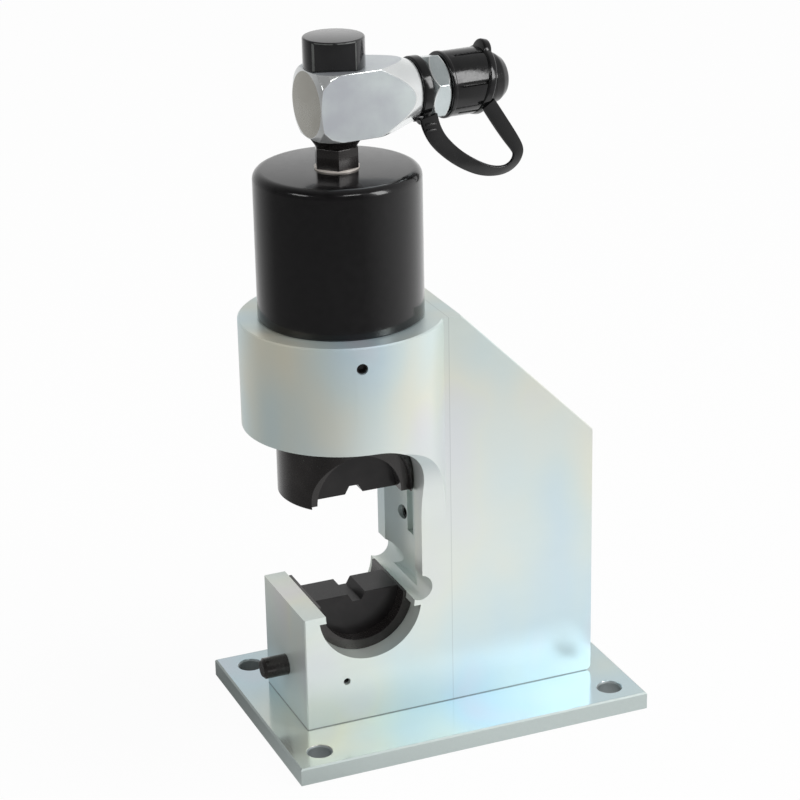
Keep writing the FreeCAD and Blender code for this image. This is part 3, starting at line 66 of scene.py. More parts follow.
# %% [markdown]
# ## The camera
#
# The camera's place was found once by fitting the base plate's corners and the
# cylinder's circles to the picture. It stands in front and to the left, looks
# slightly down, and is rolled by about one degree. A long lens keeps the
# verticals nearly parallel.

# %% Camera
CAMERA_PLACE = Vector((-0.5218, -1.2332, 0.7166))
CAMERA_YAW = math.radians(22.388)
CAMERA_PITCH = math.radians(21.784)
CAMERA_ROLL = math.radians(-1.147)
CAMERA_LENS = 117.5

forward = Vector((
    math.sin(CAMERA_YAW) * math.cos(CAMERA_PITCH),
    math.cos(CAMERA_YAW) * math.cos(CAMERA_PITCH),
    -math.sin(CAMERA_PITCH),
))
level = forward.cross(Vector((0, 0, 1))).normalized()
above = level.cross(forward)
right = level * math.cos(CAMERA_ROLL) + above * math.sin(CAMERA_ROLL)
up = above * math.cos(CAMERA_ROLL) - level * math.sin(CAMERA_ROLL)

camera_data = bpy.data.cameras.new("studio_camera")
camera_data.lens = CAMERA_LENS
camera_data.sensor_width = 36
camera_data.clip_end = 50
camera = bpy.data.objects.new("studio_camera", camera_data)
bpy.context.collection.objects.link(camera)
turned_frame = Matrix((right, up, -forward)).transposed().to_4x4()
camera.matrix_world = Matrix.Translation(CAMERA_PLACE) @ turned_frame
bpy.context.scene.camera = camera
bpy.context.scene.view_settings.view_transform = "Standard"
print("camera at", tuple(round(v, 3) for v in camera.location))

# %% [markdown]
# ## A small language for shader nodes
#
# A material is a formula. This class wraps one socket and gives it Python's
# operators, so that a formula reads as one. Each operator adds a Math node.
# Any other node comes from the one method `node`, which takes the node's type,
# its settings, and the values or links of its sockets.

# %% Shader sockets with operators


class Wire:
    """One output socket of a node tree, with arithmetic."""

    def __init__(self, tree, socket):
        self.tree = tree
        self.socket = socket

    def node(self, kind, settings=None, output=0, **inputs):
        """Adds a node of a kind, and gives the wire of one of its outputs."""
        made = self.tree.nodes.new(kind)
        for name, value in (settings or {}).items():
            if name == "stops":
                set_stops(made.color_ramp, value)
            else:
                setattr(made, name, value)
        for name, value in inputs.items():
            key = int(name[1:]) if name[1:].isdigit() else name.replace("_", " ")
            if isinstance(value, Wire):
                self.tree.links.new(value.socket, made.inputs[key])
            else:
                made.inputs[key].default_value = value
        return Wire(self.tree, made.outputs[output])

    def math(self, operation, a, b):
        return self.node("ShaderNodeMath", {"operation": operation}, i0=a, i1=b)

    def __add__(self, other):
        return self.math("ADD", self, other)

    def __radd__(self, other):
        return self.math("ADD", other, self)

    def __sub__(self, other):
        return self.math("SUBTRACT", self, other)

    def __rsub__(self, other):
        return self.math("SUBTRACT", other, self)

    def __mul__(self, other):
        return self.math("MULTIPLY", self, other)

    def __rmul__(self, other):
        return self.math("MULTIPLY", other, self)

    def __abs__(self):
        return self.math("ABSOLUTE", self, 0.0)


def set_stops(ramp, stops):
    """Sets a colour ramp from (place, colour) pairs."""
    while len(ramp.elements) < len(stops):
        ramp.elements.new(0.5)
    for element, (place, colour) in zip(ramp.elements, stops):
        element.position = place
        element.color = (*colour, 1)


# %% [markdown]
# ## A finish
#
# Every surface of the tool is one Principled shader. What differs is its
# colour, its roughness and a little relief, and each of these is a formula on
# noises. This class makes the shader and offers the few steps that those
# formulas need.

# %% Finishes and colours


class Finish:
    """A material with one Principled shader, and the wires to feed it."""

    def __init__(self, name, **values):
        self.material = bpy.data.materials.new(name)
        self.material.use_nodes = True
        self.tree = self.material.node_tree
        self.shader = self.tree.nodes["Principled BSDF"]
        self.start = Wire(self.tree, None)
        self.place = self.start.node("ShaderNodeTexCoord", output="Object")
        for key, value in values.items():
            self.shader.inputs[key.replace("_", " ")].default_value = value

    def feed(self, key, wire):
        self.tree.links.new(wire.socket, self.shader.inputs[key])

    def stretched(self, x, y, z):
        """Object coordinates scaled by axis, so that grain runs one way."""
        return self.start.node("ShaderNodeMapping", Vector=self.place, Scale=(x, y, z))

    def along(self, axis):
        """One of the three object coordinates."""
        return self.start.node("ShaderNodeSeparateXYZ", output=axis, Vector=self.place)

    def noise(self, scale, detail, at=None):
        return self.start.node("ShaderNodeTexNoise", Vector=at or self.place, Scale=scale,
                               Detail=detail)

    def ramp(self, wire, *stops):
        return self.start.node("ShaderNodeValToRGB", {"stops": stops}, Fac=wire)

    def span(self, wire, low, high, to_low=0.0, to_high=1.0):
        """Stretches a range of a wire to another range, with its ends clamped."""
        return self.start.node("ShaderNodeMapRange", i0=wire, i1=low, i2=high,
                               i3=to_low, i4=to_high)

    def blend(self, amount, a, b):
        """A colour between two others."""
        return self.start.node("ShaderNodeMix", {"data_type": "RGBA"}, output=2,
                               i0=amount, i6=a, i7=b)

    def bump(self, wire, distance, strength):
        self.feed("Normal", self.start.node("ShaderNodeBump", Height=wire, Distance=distance,
                                            Strength=strength))


def shade(red, green=None, blue=None):
    """A linear colour from screen values between 0 and 255. One value alone gives a grey."""
    parts = (red, red, red) if green is None else (red, green, blue)
    linear = [((part / 255 + 0.055) / 1.055) ** 2.4 for part in parts]
    return (*linear, 1)


# %% [markdown]
# ## Zinc plate
#
# The C-frame, the rear block and the base plate are ground steel with a bright
# zinc coat. Passivated zinc isn't one colour: a film thinner than a light wave
# gives it faint clouds of pink, straw and blue. One slow noise chooses between
# those tints and another says how strong they are. Near the foot the colour is
# painted paler and bluer, a painted reflection of the light that the polished
# plate throws up. Very fine grain in the roughness keeps it from looking like
# painted plastic. The base plate is polished further, and mirrors the frame
# that stands on it.
#
# Where two ground faces meet flush, only a hair of shadow shows. It is drawn
# with the distance to the joint, which the object coordinates give directly.
# The bolt holes and the sides of the plate are made rougher in the same way,
# and painted a darker grey: painted shade in the holes, and painted shade that
# dims the highlight along the plate's edges.

# %% Zinc
CLOUD_TINTS = (
    (0.28, shade(234, 221, 228)[:3]),
    (0.40, shade(238, 234, 213)[:3]),
    (0.52, shade(217, 231, 228)[:3]),
    (0.64, shade(203, 226, 237)[:3]),
    (0.78, shade(226, 215, 231)[:3]),
)
# Painted reflection: a paler, bluer tint near the frame's foot, for light thrown up by the plate.
FOOT_SHEEN_TINT = shade(212, 238, 243)
SEAM_SHADOW = shade(92, 102, 104)
# Painted shade: a darker grey inside the bolt holes and on the plate's sides.
BORE_SHADE_GREY = shade(160, 167, 168)
SIDE_SHADE_GREY = shade(196, 206, 204)
SEAM_X = 2 * MM
PLATE_TOP = 10 * MM
# Each joint is its axis, its place, and the width and depth of its hairline.
JOINTS = ((0, SEAM_X, 0.3 * MM, 0.22), (2, PLATE_TOP, 0.7 * MM, 0.85))
FOOT_SHEEN_TOP = 85 * MM
BOLTS = (88.5 * MM, 56 * MM)
BOLT_HOLE = 7.1 * MM
PLATE_EDGES = (103.9 * MM, 69.9 * MM)
EDGE_BLEND = 0.2 * MM
GRAIN_LENGTH = 0.04
DULLER = 0.4


def hairline(made, axis, place, width):
    """1 on a joint at a place along an axis, and 0 away from it."""
    return 1 - made.span(abs(made.along(axis) - place), width * 0.4, width)


def around_bolts(made):
    """1 inside the four bolt holes, and 0 outside them."""
    away = [abs(made.along(axis)) - BOLTS[axis] for axis in (0, 1)]
    squared = away[0] * away[0] + away[1] * away[1]
    return 1 - made.span(squared, BOLT_HOLE ** 2, (BOLT_HOLE * 1.03) ** 2)


def plate_sides_dull_and_shaded(made):
    """1 on the plate's sides and on their bevels, and 0 inside."""
    past = [made.span(abs(made.along(axis)), PLATE_EDGES[axis], PLATE_EDGES[axis] + EDGE_BLEND)
            for axis in (0, 1)]
    return made.start.math("MAXIMUM", *past)


def zinc(name, base, cloud_scale, roughness, grain_axis, metallic, joints=(), foot=0.0,
         plate=False):
    """Clouded zinc. The foot is how strong the painted sheen is at the bottom."""
    made = Finish(name, Metallic=metallic)
    stretch = [1, 1, 1]
    stretch[grain_axis] = GRAIN_LENGTH
    clouds = made.noise(cloud_scale, detail=2, at=made.stretched(1.0, 1.0, 0.6))
    drift = made.noise(cloud_scale * 0.6, detail=1, at=made.stretched(0.7, 1.3, 1.1))
    tint = made.ramp(clouds, *CLOUD_TINTS)
    plain = made.blend(made.span(drift, 0.35, 0.65, 0.3, 0.9), base, tint)
    # Painted reflection: towards the foot the colour is blended to a paler, bluer tint that stands
    # in for light from the polished plate.
    if foot:
        foot_sheen = made.span(made.along(2), PLATE_TOP, FOOT_SHEEN_TOP, foot, 0)
        plain = made.blend(foot_sheen, plain, FOOT_SHEEN_TINT)
    for axis, place, width, depth in joints:
        dark = hairline(made, axis, place, width) * depth
        plain = made.blend(dark, plain, SEAM_SHADOW)
    grain = made.noise(900, detail=2, at=made.stretched(*stretch))
    gloss = made.span(grain, 0.3, 0.7, roughness - 0.04, roughness + 0.04)
    if plate:
        bores = around_bolts(made)
        edges = plate_sides_dull_and_shaded(made)
        # Painted shade: the bolt holes and the plate's sides are painted a darker grey, and are
        # also made rougher.
        plain = made.blend(bores, plain, BORE_SHADE_GREY)
        plain = made.blend(edges, plain, SIDE_SHADE_GREY)
        gloss = gloss + (bores + edges) * DULLER
    made.feed("Base Color", plain)
    made.feed("Roughness", gloss)
    made.bump(grain, 0.000002, 0.08)
    return made.material


frame_zinc = zinc("frame_zinc", shade(224, 235, 235), cloud_scale=13, roughness=0.36,
                  grain_axis=0, metallic=0.58, joints=JOINTS, foot=0.4)
plate_zinc = zinc("plate_zinc", shade(210, 225, 227), cloud_scale=9, roughness=0.14,
                  grain_axis=1, metallic=0.75, plate=True)
print("zinc shader nodes:", len(frame_zinc.node_tree.nodes), len(plate_zinc.node_tree.nodes))

# %% [markdown]
# ## Black finishes
#
# Three blacks differ by their gloss. The cylinder is baked enamel, smooth
# enough to mirror the stem that stands on it. The ram, dies and pins are
# oxide-blacked steel, oily and a little brown; a paler oxide on the nut's
# corners is a painted highlight. The rubber of the cap is smooth from its
# mould, with a shine on its edges, and the seals inside are dull.

# %% Black enamel, oxide and rubber


def enamel():
    """Baked enamel, with a trace of orange peel."""
    made = Finish("black_enamel", Metallic=0.0, IOR=1.38, Coat_Weight=0.35, Coat_Roughness=0.04)
    peel = made.noise(260, detail=2)
    made.feed("Base Color", made.blend(made.span(peel, 0.3, 0.7),
                                       shade(11, 10, 11), shade(16, 15, 16)))
    made.feed("Roughness", made.span(peel, 0.3, 0.7, 0.16, 0.24))
    made.bump(peel, 0.00001, 0.12)
    return made.material


def oxide(name, dark, light, roughness, oil):
    """Blacked steel, with a film of oil as a clear coat."""
    made = Finish(name, Metallic=0.5, Coat_Weight=oil, Coat_Roughness=0.1)
    stain = made.noise(60, detail=4)
    fine = made.noise(1400, detail=2)
    made.feed("Base Color", made.blend(made.span(stain, 0.35, 0.7), dark, light))
    made.feed("Roughness", made.span(fine, 0.3, 0.7, roughness - 0.04, roughness + 0.05))
    made.bump(fine, 0.000003, 0.04)
    return made.material


def rubber(name, tone, roughness, dusty):
    """Moulded rubber with fine pores, a little paler where dust settled."""
    made = Finish(name, Metallic=0.0)
    pores = made.noise(700, detail=3)
    dust = made.noise(90, detail=3)
    made.feed("Base Color", made.blend(made.span(dust, 0.45, 0.75), tone, shade(dusty)))
    made.feed("Roughness", made.span(pores, 0.3, 0.7, roughness - 0.05, roughness + 0.08))
    made.bump(pores, 0.000004, 0.15)
    return made.material


black_enamel = enamel()
black_oxide = oxide("black_oxide", shade(39, 36, 35), shade(54, 51, 50), roughness=0.24, oil=0.45)
nut_oxide = oxide("nut_oxide", shade(38, 38, 39), shade(47, 47, 48), roughness=0.2, oil=0.55)
# A paler oxide, painted on the nut's corner bevels as a highlight.
nut_corner_highlight_oxide = oxide("nut_corner_highlight_oxide", shade(84, 86, 84), shade(128, 130, 128), roughness=0.24, oil=0.4)
die_oxide = oxide("die_oxide", shade(26, 24, 25), shade(39, 37, 37), roughness=0.34, oil=0.12)
black_rubber = rubber("black_rubber", shade(15, 15, 16), roughness=0.13, dusty=22)
strap_rubber = rubber("strap_rubber", shade(17, 17, 18), roughness=0.2, dusty=26)
seal_rubber = rubber("seal_rubber", shade(24, 24, 26), roughness=0.5, dusty=34)
print("finishes so far:", [material.name for material in bpy.data.materials])

# %% [markdown]
# ## Bright steel
#
# The swivel block and the coupler are plated and left bright. The flats keep
# the satin of the drawn bar, the turned ends are smoother and paler, and the
# faced end is yellower. Each is a finish of its own, and a piece that has more
# than one gets them face by face, by the direction that a face looks in: a
# flat of the bar faces straight up, down, forwards or back.

# %% Bright steel


def bright(name, tone, light, roughness, metallic):
    """Bright metal, mottled between two tones."""
    made = Finish(name, Metallic=metallic)
    mottle = made.noise(45, detail=4)
    fine = made.noise(700, detail=2)
    made.feed("Base Color", made.blend(made.span(mottle, 0.35, 0.7), tone, light))
    uneven = fine + mottle * 2
    made.feed("Roughness", made.span(uneven, 1.0, 2.0, roughness - 0.05, roughness + 0.07))
    made.bump(fine, 0.000003, 0.04)
    return made.material


bar_steel = bright("bar_steel", shade(196, 200, 206), shade(214, 222, 222),
                   roughness=0.33, metallic=0.55)
# The paler turned finish; on the coupler hexagon's bevels it serves as a painted highlight.
turned_steel_and_rim_highlight = bright("turned_steel_and_rim_highlight", shade(226, 229, 229), shade(238, 240, 240),
                      roughness=0.16, metallic=0.7)
faced_steel = bright("faced_steel", shade(178, 176, 167), shade(196, 195, 188),
                     roughness=0.26, metallic=0.9)
hex_zinc = bright("hex_zinc", shade(194, 204, 204), shade(214, 222, 224),
                  roughness=0.17, metallic=0.85)
washer_zinc = bright("washer_zinc", shade(226, 218, 210), shade(238, 230, 222),
                     roughness=0.35, metallic=0.25)
spring_steel = bright("spring_steel", shade(120, 122, 128), shade(190, 192, 198),
                      roughness=0.35, metallic=1.0)
print("finishes in all:", len(bpy.data.materials))

# %% [markdown]
# ## Dressing the CAD nodes
#
# A node keeps its mesh and gets its finish through its material slots.

# %% Finishes of the CAD nodes
FINISHES = {
    frame_zinc: ["c_frame", "rear_block"],
    plate_zinc: ["base_plate"],
    black_enamel: ["cylinder"],
    black_oxide: ["ram", "die_holder", "upper_holder", "release_pin", "cross_pin", "ram_key",
                  "swivel_stem", "stem_cap_nut", "tie_screws", "cylinder_lock_screw", "key_screw",
                  "frame_screws", "lock_pin"],
    die_oxide: ["lower_die", "upper_die"],
    bar_steel: ["swivel_tee", "valve_poppet", "spring_rod", "spring_washer",
                "spring_retainer", "dowel_pins", "detent_ball"],
    washer_zinc: ["bonded_seal"],
    hex_zinc: ["coupler_body"],
    spring_steel: ["return_spring", "release_spring", "valve_spring", "detent_spring"],
    black_rubber: ["dust_cap", "tether_ring", "cap_strap"],
    seal_rubber: ["piston_seal", "guide_ring", "rod_wiper", "stem_o_rings"],
}


def coat(made, *finishes):
    """Gives a piece its finishes, in the order of its material slots."""
    made.data.materials.clear()
    for finish in finishes:
        made.data.materials.append(finish)


for finish, names in FINISHES.items():
    for name in names:
        coat(nodes[name], finish)
print("dressed", sum(len(names) for names in FINISHES.values()), "nodes")

# %% [markdown]
# ## Turning a piece, as on a lathe
#
# Most of the pieces on top are turned: a profile goes once round an axis. In
# Blender that is a row of points, extruded one from the next, and then spun.
# A profile that ends where it began makes a closed ring with a bore. A corner
# that has a third number is rounded to that radius first, because real edges
# are, and a round edge is what catches a line of light.

# %% The lathe
ROUND_STEPS = 5
SAME_PLACE = 1e-7


def take(made):
    """Makes one object the only selected one, and the active one."""
    bpy.ops.object.select_all(action="DESELECT")
    made.select_set(True)
    bpy.context.view_layer.objects.active = made


def eased(corners):
    """The points of a closed profile, with each corner that has a radius rounded."""
    points = []
    for index, corner in enumerate(corners):
        spot = Vector(corner[:2])
        if len(corner) < 3:
            points.append(spot)
            continue
        back = (Vector(corners[index - 1][:2]) - spot).normalized()
        ahead = (Vector(corners[(index + 1) % len(corners)][:2]) - spot).normalized()
        half = back.angle(ahead) / 2
        centre = spot + (back + ahead).normalized() * (corner[2] / math.sin(half))
        first = spot + back * (corner[2] / math.tan(half)) - centre
        last = spot + ahead * (corner[2] / math.tan(half)) - centre
        turn = math.atan2(first.x * last.y - first.y * last.x, first.dot(last))
        for step in range(ROUND_STEPS + 1):
            points.append(centre + Matrix.Rotation(turn * step / ROUND_STEPS, 2) @ first)
    return points + [points[0]]


def lathe(name, corners, steps=96):
    """Turns a closed profile of (radius, height) in mm about the Z axis."""
    bpy.ops.object.select_all(action="DESELECT")
    bpy.ops.mesh.primitive_plane_add(size=MM)
    made = bpy.context.object
    made.name = name
    bpy.ops.object.mode_set(mode="EDIT")
    bpy.ops.mesh.merge(type="CENTER")
    here = Vector((0, 0, 0))
    for number, (radius, height) in enumerate(eased(corners)):
        there = Vector((radius * MM, 0, height * MM))
        if number:
            bpy.ops.mesh.extrude_region_move(TRANSFORM_OT_translate={"value": there - here})
        else:
            bpy.ops.transform.translate(value=there)
        here = there
    bpy.ops.mesh.select_all(action="SELECT")
    bpy.ops.mesh.spin(steps=steps, angle=2 * math.pi, center=(0, 0, 0), axis=(0, 0, 1))
    bpy.ops.mesh.select_all(action="SELECT")
    bpy.ops.mesh.remove_doubles(threshold=SAME_PLACE)
    bpy.ops.mesh.dissolve_degenerate(threshold=SAME_PLACE)
    bpy.ops.mesh.normals_make_consistent(inside=False)
    bpy.ops.object.mode_set(mode="OBJECT")
    return made


# %% [markdown]
# ## Prisms, blocks, cuts and soft edges
#
# What isn't turned is milled: a hexagon, a flat, a groove or a bore. A prism
# or a block is the stock or the cutter, a Boolean modifier takes one from the
# other, and a Bevel modifier breaks the edges that are left.

# %% Prisms and blocks


def prism(name, sides, reach, low, high, corner=0.0):
    """An upright prism in mm. One of its corners points that many degrees from +X."""
    bpy.ops.object.select_all(action="DESELECT")
    bpy.ops.mesh.primitive_cylinder_add(vertices=sides, radius=reach * MM, depth=(high - low) * MM,
                                        location=(0, 0, (high + low) / 2 * MM))
    made = bpy.context.object
    made.name = name
    first = made.data.vertices[0].co
    spin = math.radians(corner) - math.atan2(first.y, first.x)
    made.data.transform(Matrix.Rotation(spin, 4, "Z") @ made.matrix_world)
    made.matrix_world = Matrix.Identity(4)
    return made


def block(name, middle, size, edge=0):
    """A box in mm, with its edges rounded if they are given a width."""
    bpy.ops.object.select_all(action="DESELECT")
    bpy.ops.mesh.primitive_cube_add(size=MM)
    made = bpy.context.object
    made.name = name
    made.data.transform(Matrix.Translation(Vector(middle) * MM) @ Matrix.Diagonal((*size, 1)))
    if edge:
        soft_edges(made, edge)
    return made


# %% Cuts, edges and joining


def trim(made, cutter, operation="DIFFERENCE"):
    """Cuts a piece with another one, or keeps what the two share."""
    take(made)
    cut = made.modifiers.new("cut", "BOOLEAN")
    cut.operation = operation
    cut.solver = "EXACT"
    cut.object = cutter
    bpy.ops.object.modifier_apply(modifier=cut.name)
    bpy.data.objects.remove(cutter)


def soft_edges(made, width, angle=24, segments=3):
    """Bevels the sharp edges of a piece."""
    take(made)
    bevel = made.modifiers.new("edges", "BEVEL")
    bevel.width = width * MM
    bevel.segments = segments
    bevel.limit_method = "ANGLE"
    bevel.angle_limit = math.radians(angle)
    bevel.use_clamp_overlap = False
    bpy.ops.object.modifier_apply(modifier=bevel.name)


def join(made, *others):
    """Joins finished shells into one piece."""
    take(made)
    for other in others:
        other.select_set(True)
    bpy.ops.object.join()
    return made


# %% [markdown]
# ## Placing a piece
#
# What stands on the ram's axis is made round the Z axis and moved there. What
# belongs to the swivel block is made with Z along the block, and is tipped
# over and turned with it. Then a piece is attached to the body it rides on,
# and the CAD node it stands for is hidden.

# %% Placing


def smooth_faces(made, angle):
    """Shades a piece smooth, except where its faces meet at more than an angle."""
    take(made)
    bpy.ops.object.shade_smooth_by_angle(angle=math.radians(angle))


def fit(made, body, replaced, at, smooth=32):
    """Places a piece, attaches it to its body, and hides the node it stands for."""
    made.data.transform(at)
    smooth_faces(made, smooth)
    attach(made, body)
    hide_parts(replaced)
    print(made.name, len(made.data.polygons), "faces")


RAM_X = -47 * MM
TEE_HEIGHT = 357.4 * MM
TEE_TURN = math.radians(4)
RAM_AXIS = Matrix.Translation((RAM_X, 0, 0))
TEE_FRAME = Matrix.Translation((RAM_X, 0, TEE_HEIGHT)) @ Matrix.Rotation(TEE_TURN, 4, "Z")
TEE = TEE_FRAME @ Matrix.Rotation(math.pi / 2, 4, "Y")
print("the swivel block's middle:", tuple(round(value, 4) for value in TEE.translation))

# %% [markdown]
# ## The cylinder
#
# A plain tube with a closed top, but its rounded upper edge is the brightest
# line on the black. The CAD mesh has few facets there, so the tube is turned
# again with more of them.

# %% Cylinder
TUBE = 45
TUBE_BORE = 37.8
TUBE_FOOT = 184
TUBE_TOP = 321.4
SCREWED_IN = 42.5
PORT = 8.3

cylinder = lathe("cylinder_enamelled", [
    (TUBE_BORE, TUBE_FOOT), (SCREWED_IN, TUBE_FOOT), (SCREWED_IN, 239.8), (44.1, 239.8),
    (TUBE, 240.7), (TUBE, TUBE_TOP, 5), (PORT, TUBE_TOP), (PORT, 305), (TUBE_BORE, 305),
    (TUBE_BORE, 191.2), (40.8, 191.2), (40.8, 186.2), (TUBE_BORE, 186.2),
], steps=144)
coat(cylinder, black_enamel)
fit(cylinder, "frame", "cylinder", at=RAM_AXIS)

# %% [markdown]
# ## The swivel stem and its cap nut
#
# The stem is a hexagon for a spanner that flares out under the swivel block.
# The hexagon and the turned body are two closed shells in one piece. The nut
# is round with two flats, and a thin round rim is left above them. The bevels
# between flat and round look between 5 and 40 degrees away from the flat, so
# their normals pick them out for a paler oxide, a painted highlight.

# %% Stem and nut
STEM_SEAT = 322.4
NUT_FOOT = 375.7
NUT_TOP = 391.9
NUT = 16.4
NUT_BORE = 8.05
NUT_FLATS = 11.9
NUT_AIM = math.radians(-108.5)


def six_sides(flats):
    """How far the corners of a hexagon reach, from how far its flats do."""
    return flats / math.cos(math.pi / 6)


stem = lathe("stem_turned", [
    (3, 308.4), (8.2, 308.4), (8.2, STEM_SEAT), (10.8, STEM_SEAT), (10.8, 333.2), (14, 337.9, 0.6),
    (14, 339.1), (9, 339.1), (9, NUT_FOOT), (8, NUT_FOOT), (8, 387.3, 0.5), (0, 387.3),
    (0, 361.4), (3, 361.4),
])
spanner_part = prism("spanner_part", 6, six_sides(11), STEM_SEAT, 333.6, corner=13)
soft_edges(spanner_part, 0.35)
join(stem, spanner_part)
coat(stem, black_oxide)
fit(stem, "frame", "swivel_stem", at=RAM_AXIS)

nut = lathe("nut_turned", [
    (NUT_BORE, NUT_FOOT), (NUT, NUT_FOOT, 0.5), (NUT, NUT_TOP, 1.0), (0, NUT_TOP),
    (0, 388), (NUT_BORE, 388),
], steps=128)
for side in (0, math.pi):
    cutter = block("flat_cutter", (NUT_FLATS + 10, 0, 380.7), (20, 40, 20))
    cutter.data.transform(Matrix.Rotation(NUT_AIM + side, 4, "Z"))
    trim(nut, cutter)
soft_edges(nut, 0.7, angle=35)
coat(nut, nut_oxide, nut_corner_highlight_oxide)
across = Vector((math.cos(NUT_AIM), math.sin(NUT_AIM), 0))
# Painted highlight: the corner bevels between flat and round get the paler oxide.
for face in nut.data.polygons:
    turned = math.degrees(math.acos(min(1.0, abs(face.normal.dot(across)))))
    face.material_index = int(abs(face.normal.z) < 0.05 and 5 < turned < 40)
fit(nut, "frame", "stem_cap_nut", at=RAM_AXIS)

# %% [markdown]
# ## The swivel block
#
# It is cut from square bar and turned at both ends. So a square bar and a
# turned blank are made, and only what they share is kept: that is what leaves
# the curved outlines of its flats. Then the bores for the stem, the coupler
# and the oil go in, and every edge is eased a little, which draws the bright
# line round each flat.

# %% Swivel block
BAR = 36
TEE_LOW = -16.5
TEE_HIGH = 43.5

swivel = lathe("swivel_block", [
    (0, TEE_LOW), (17.5, TEE_LOW), (21.2, -15.2), (23.8, -10.7), (25.2, -5.3), (25.9, -2),
    (25.9, 17), (16.2, TEE_HIGH), (0, TEE_HIGH),
], steps=160)
bpy.ops.object.select_all(action="DESELECT")
bpy.ops.mesh.primitive_cube_add(size=BAR * MM, location=(0, 0, (TEE_LOW + TEE_HIGH) / 2 * MM))
square = bpy.context.object
square.data.transform(square.matrix_world @ Matrix.Diagonal((1, 1, 2, 1)))
square.matrix_world = Matrix.Identity(4)
trim(swivel, square, "INTERSECT")
cross_bore = prism("cross_bore", 64, 9.05, -25, 25)
cross_bore.data.transform(Matrix.Rotation(math.pi / 2, 4, "Y"))
trim(swivel, cross_bore)
trim(swivel, prism("thread_bore", 48, 10, 29.5, 50))
trim(swivel, prism("oil_bore", 48, 6.4, 0, 35))
soft_edges(swivel, 0.32, angle=12, segments=2)
coat(swivel, bar_steel, turned_steel_and_rim_highlight, faced_steel)
for face in swivel.data.polygons:
    flat = max(abs(face.normal.x), abs(face.normal.y)) > 0.9995
    faced = face.normal.z < -0.99
    face.material_index = 0 if flat else 2 if faced else 1
fit(swivel, "swivel", "swivel_tee", at=TEE, smooth=11)

# %% [markdown]
# ## The coupler
#
# A hexagon, turned to a cone at each end, so that its corners end in curves.
# It sits on a turned body whose nose goes into the dust cap. The bevels round
# its flats face neither sideways nor along the cone, which picks them out for
# the paler turned finish, as a painted highlight along the flats' rims.

# %% Coupler
NOSE = 14
NOSE_TIP = 83.7
HEX_LOW = 50.1
HEX_HIGH = 60.7
HEX_CONE = 15.6

coupler = lathe("coupler_turned", [
    (3, 30.5), (9.95, 30.5), (9.95, TEE_HIGH), (13, TEE_HIGH), (13, 59.7), (NOSE, 59.7),
    (NOSE, NOSE_TIP, 1), (6.5, NOSE_TIP), (6.5, 78.7), (9, 76.2), (9, 55.4), (3, 55.4),
])
hexagon = prism("coupler_hexagon", 6, six_sides(16), HEX_LOW, HEX_HIGH, corner=-103)
blank = lathe("hexagon_blank", [
    (0, HEX_LOW), (HEX_CONE, HEX_LOW), (18.9, 53.2), (18.9, 57.6), (HEX_CONE, HEX_HIGH),
    (0, HEX_HIGH),
])
trim(hexagon, blank, "INTERSECT")
soft_edges(hexagon, 0.4, angle=16, segments=2)
for piece in (coupler, hexagon):
    coat(piece, hex_zinc, turned_steel_and_rim_highlight)
# Painted highlight: the bevels round the flats get the paler turned finish.
for face in hexagon.data.polygons:
    face.material_index = int(0.04 < abs(face.normal.z) < 0.66)
join(coupler, hexagon)
fit(coupler, "swivel", "coupler_body", at=TEE, smooth=12)

# %% [markdown]
# ## The tether ring, the dust cap and its strap
#
# On the real tool they are one rubber moulding. The cap is a sleeve with a
# rim, six grooves for the fingers, a leaning flange with a pull tab, and a
# dome. Each closed form is turned or cut on its own, and they run into each
# other as they do in the mould.

# %% Tether ring
RING_BORE = 13.1
RING = 17.5
RING_LOW = 43.9
RING_HIGH = 49.7

ring = lathe("tether_ring_moulded", [
    (RING_BORE, RING_LOW), (RING, RING_LOW, 0.9), (RING, RING_HIGH, 0.9), (RING_BORE, RING_HIGH),
])
lug = prism("ring_lug", 32, 6.2, RING_LOW + 0.4, RING_HIGH - 0.4)
lug.data.transform(Matrix.Translation((11.4 * MM, -8.2 * MM, 0)))
soft_edges(lug, 0.8)
trim(lug, prism("ring_hole", 96, RING_BORE + 0.1, 40, 55))
bracket = block("ring_bracket", (12.2, -12.6, 41.8), (2.6, 4.4, 5.6), 0.8)
root_bars = [block("root_bar", (15.4 + 3.2 * number, -17.2, 47), (1.3, 2.2, 6.4), 0.5)
             for number in (0, 1)]
join(ring, lug, bracket, *root_bars)
coat(ring, black_rubber)
fit(ring, "swivel", "tether_ring", at=TEE)

# %% Dust cap
SLEEVE = 17.6
SLEEVE_BORE = 14.3
SLEEVE_LOW = 60.8
DOME_BORE = 10.5
GROOVES = 6
FIRST_GROOVE = math.radians(-99)
LEAN = math.radians(13)
FLANGE = 18.6
FLANGE_HALF = 2.4
FLANGE_PLACE = 83.4

cap = lathe("dust_cap_moulded", [
    (SLEEVE_BORE, SLEEVE_LOW), (18, SLEEVE_LOW, 0.7), (18, 62.9, 0.5), (SLEEVE, 63.4),
    (SLEEVE, 84.4), (14.2, 85.4), (14.2, 89, 3), (13.4, 93.6, 4), (10.6, 97.6, 5), (6, 100.1, 5),
    (0, 100.5), (0, 88.5), (DOME_BORE, 88.5), (DOME_BORE, 84), (SLEEVE_BORE, 84),
], steps=128)
groove = block("cap_groove", (17.8, 0, 78.5), (2.2, 1.6, 23))
grooves = []
for number in range(GROOVES):
    copy = groove.copy()
    copy.data = groove.data.copy()
    bpy.context.collection.objects.link(copy)
    copy.data.transform(Matrix.Rotation(FIRST_GROOVE + 2 * math.pi * number / GROOVES, 4, "Z"))
    grooves.append(copy)
bpy.data.objects.remove(groove)
trim(cap, join(*grooves))
soft_edges(cap, 0.3, angle=42)

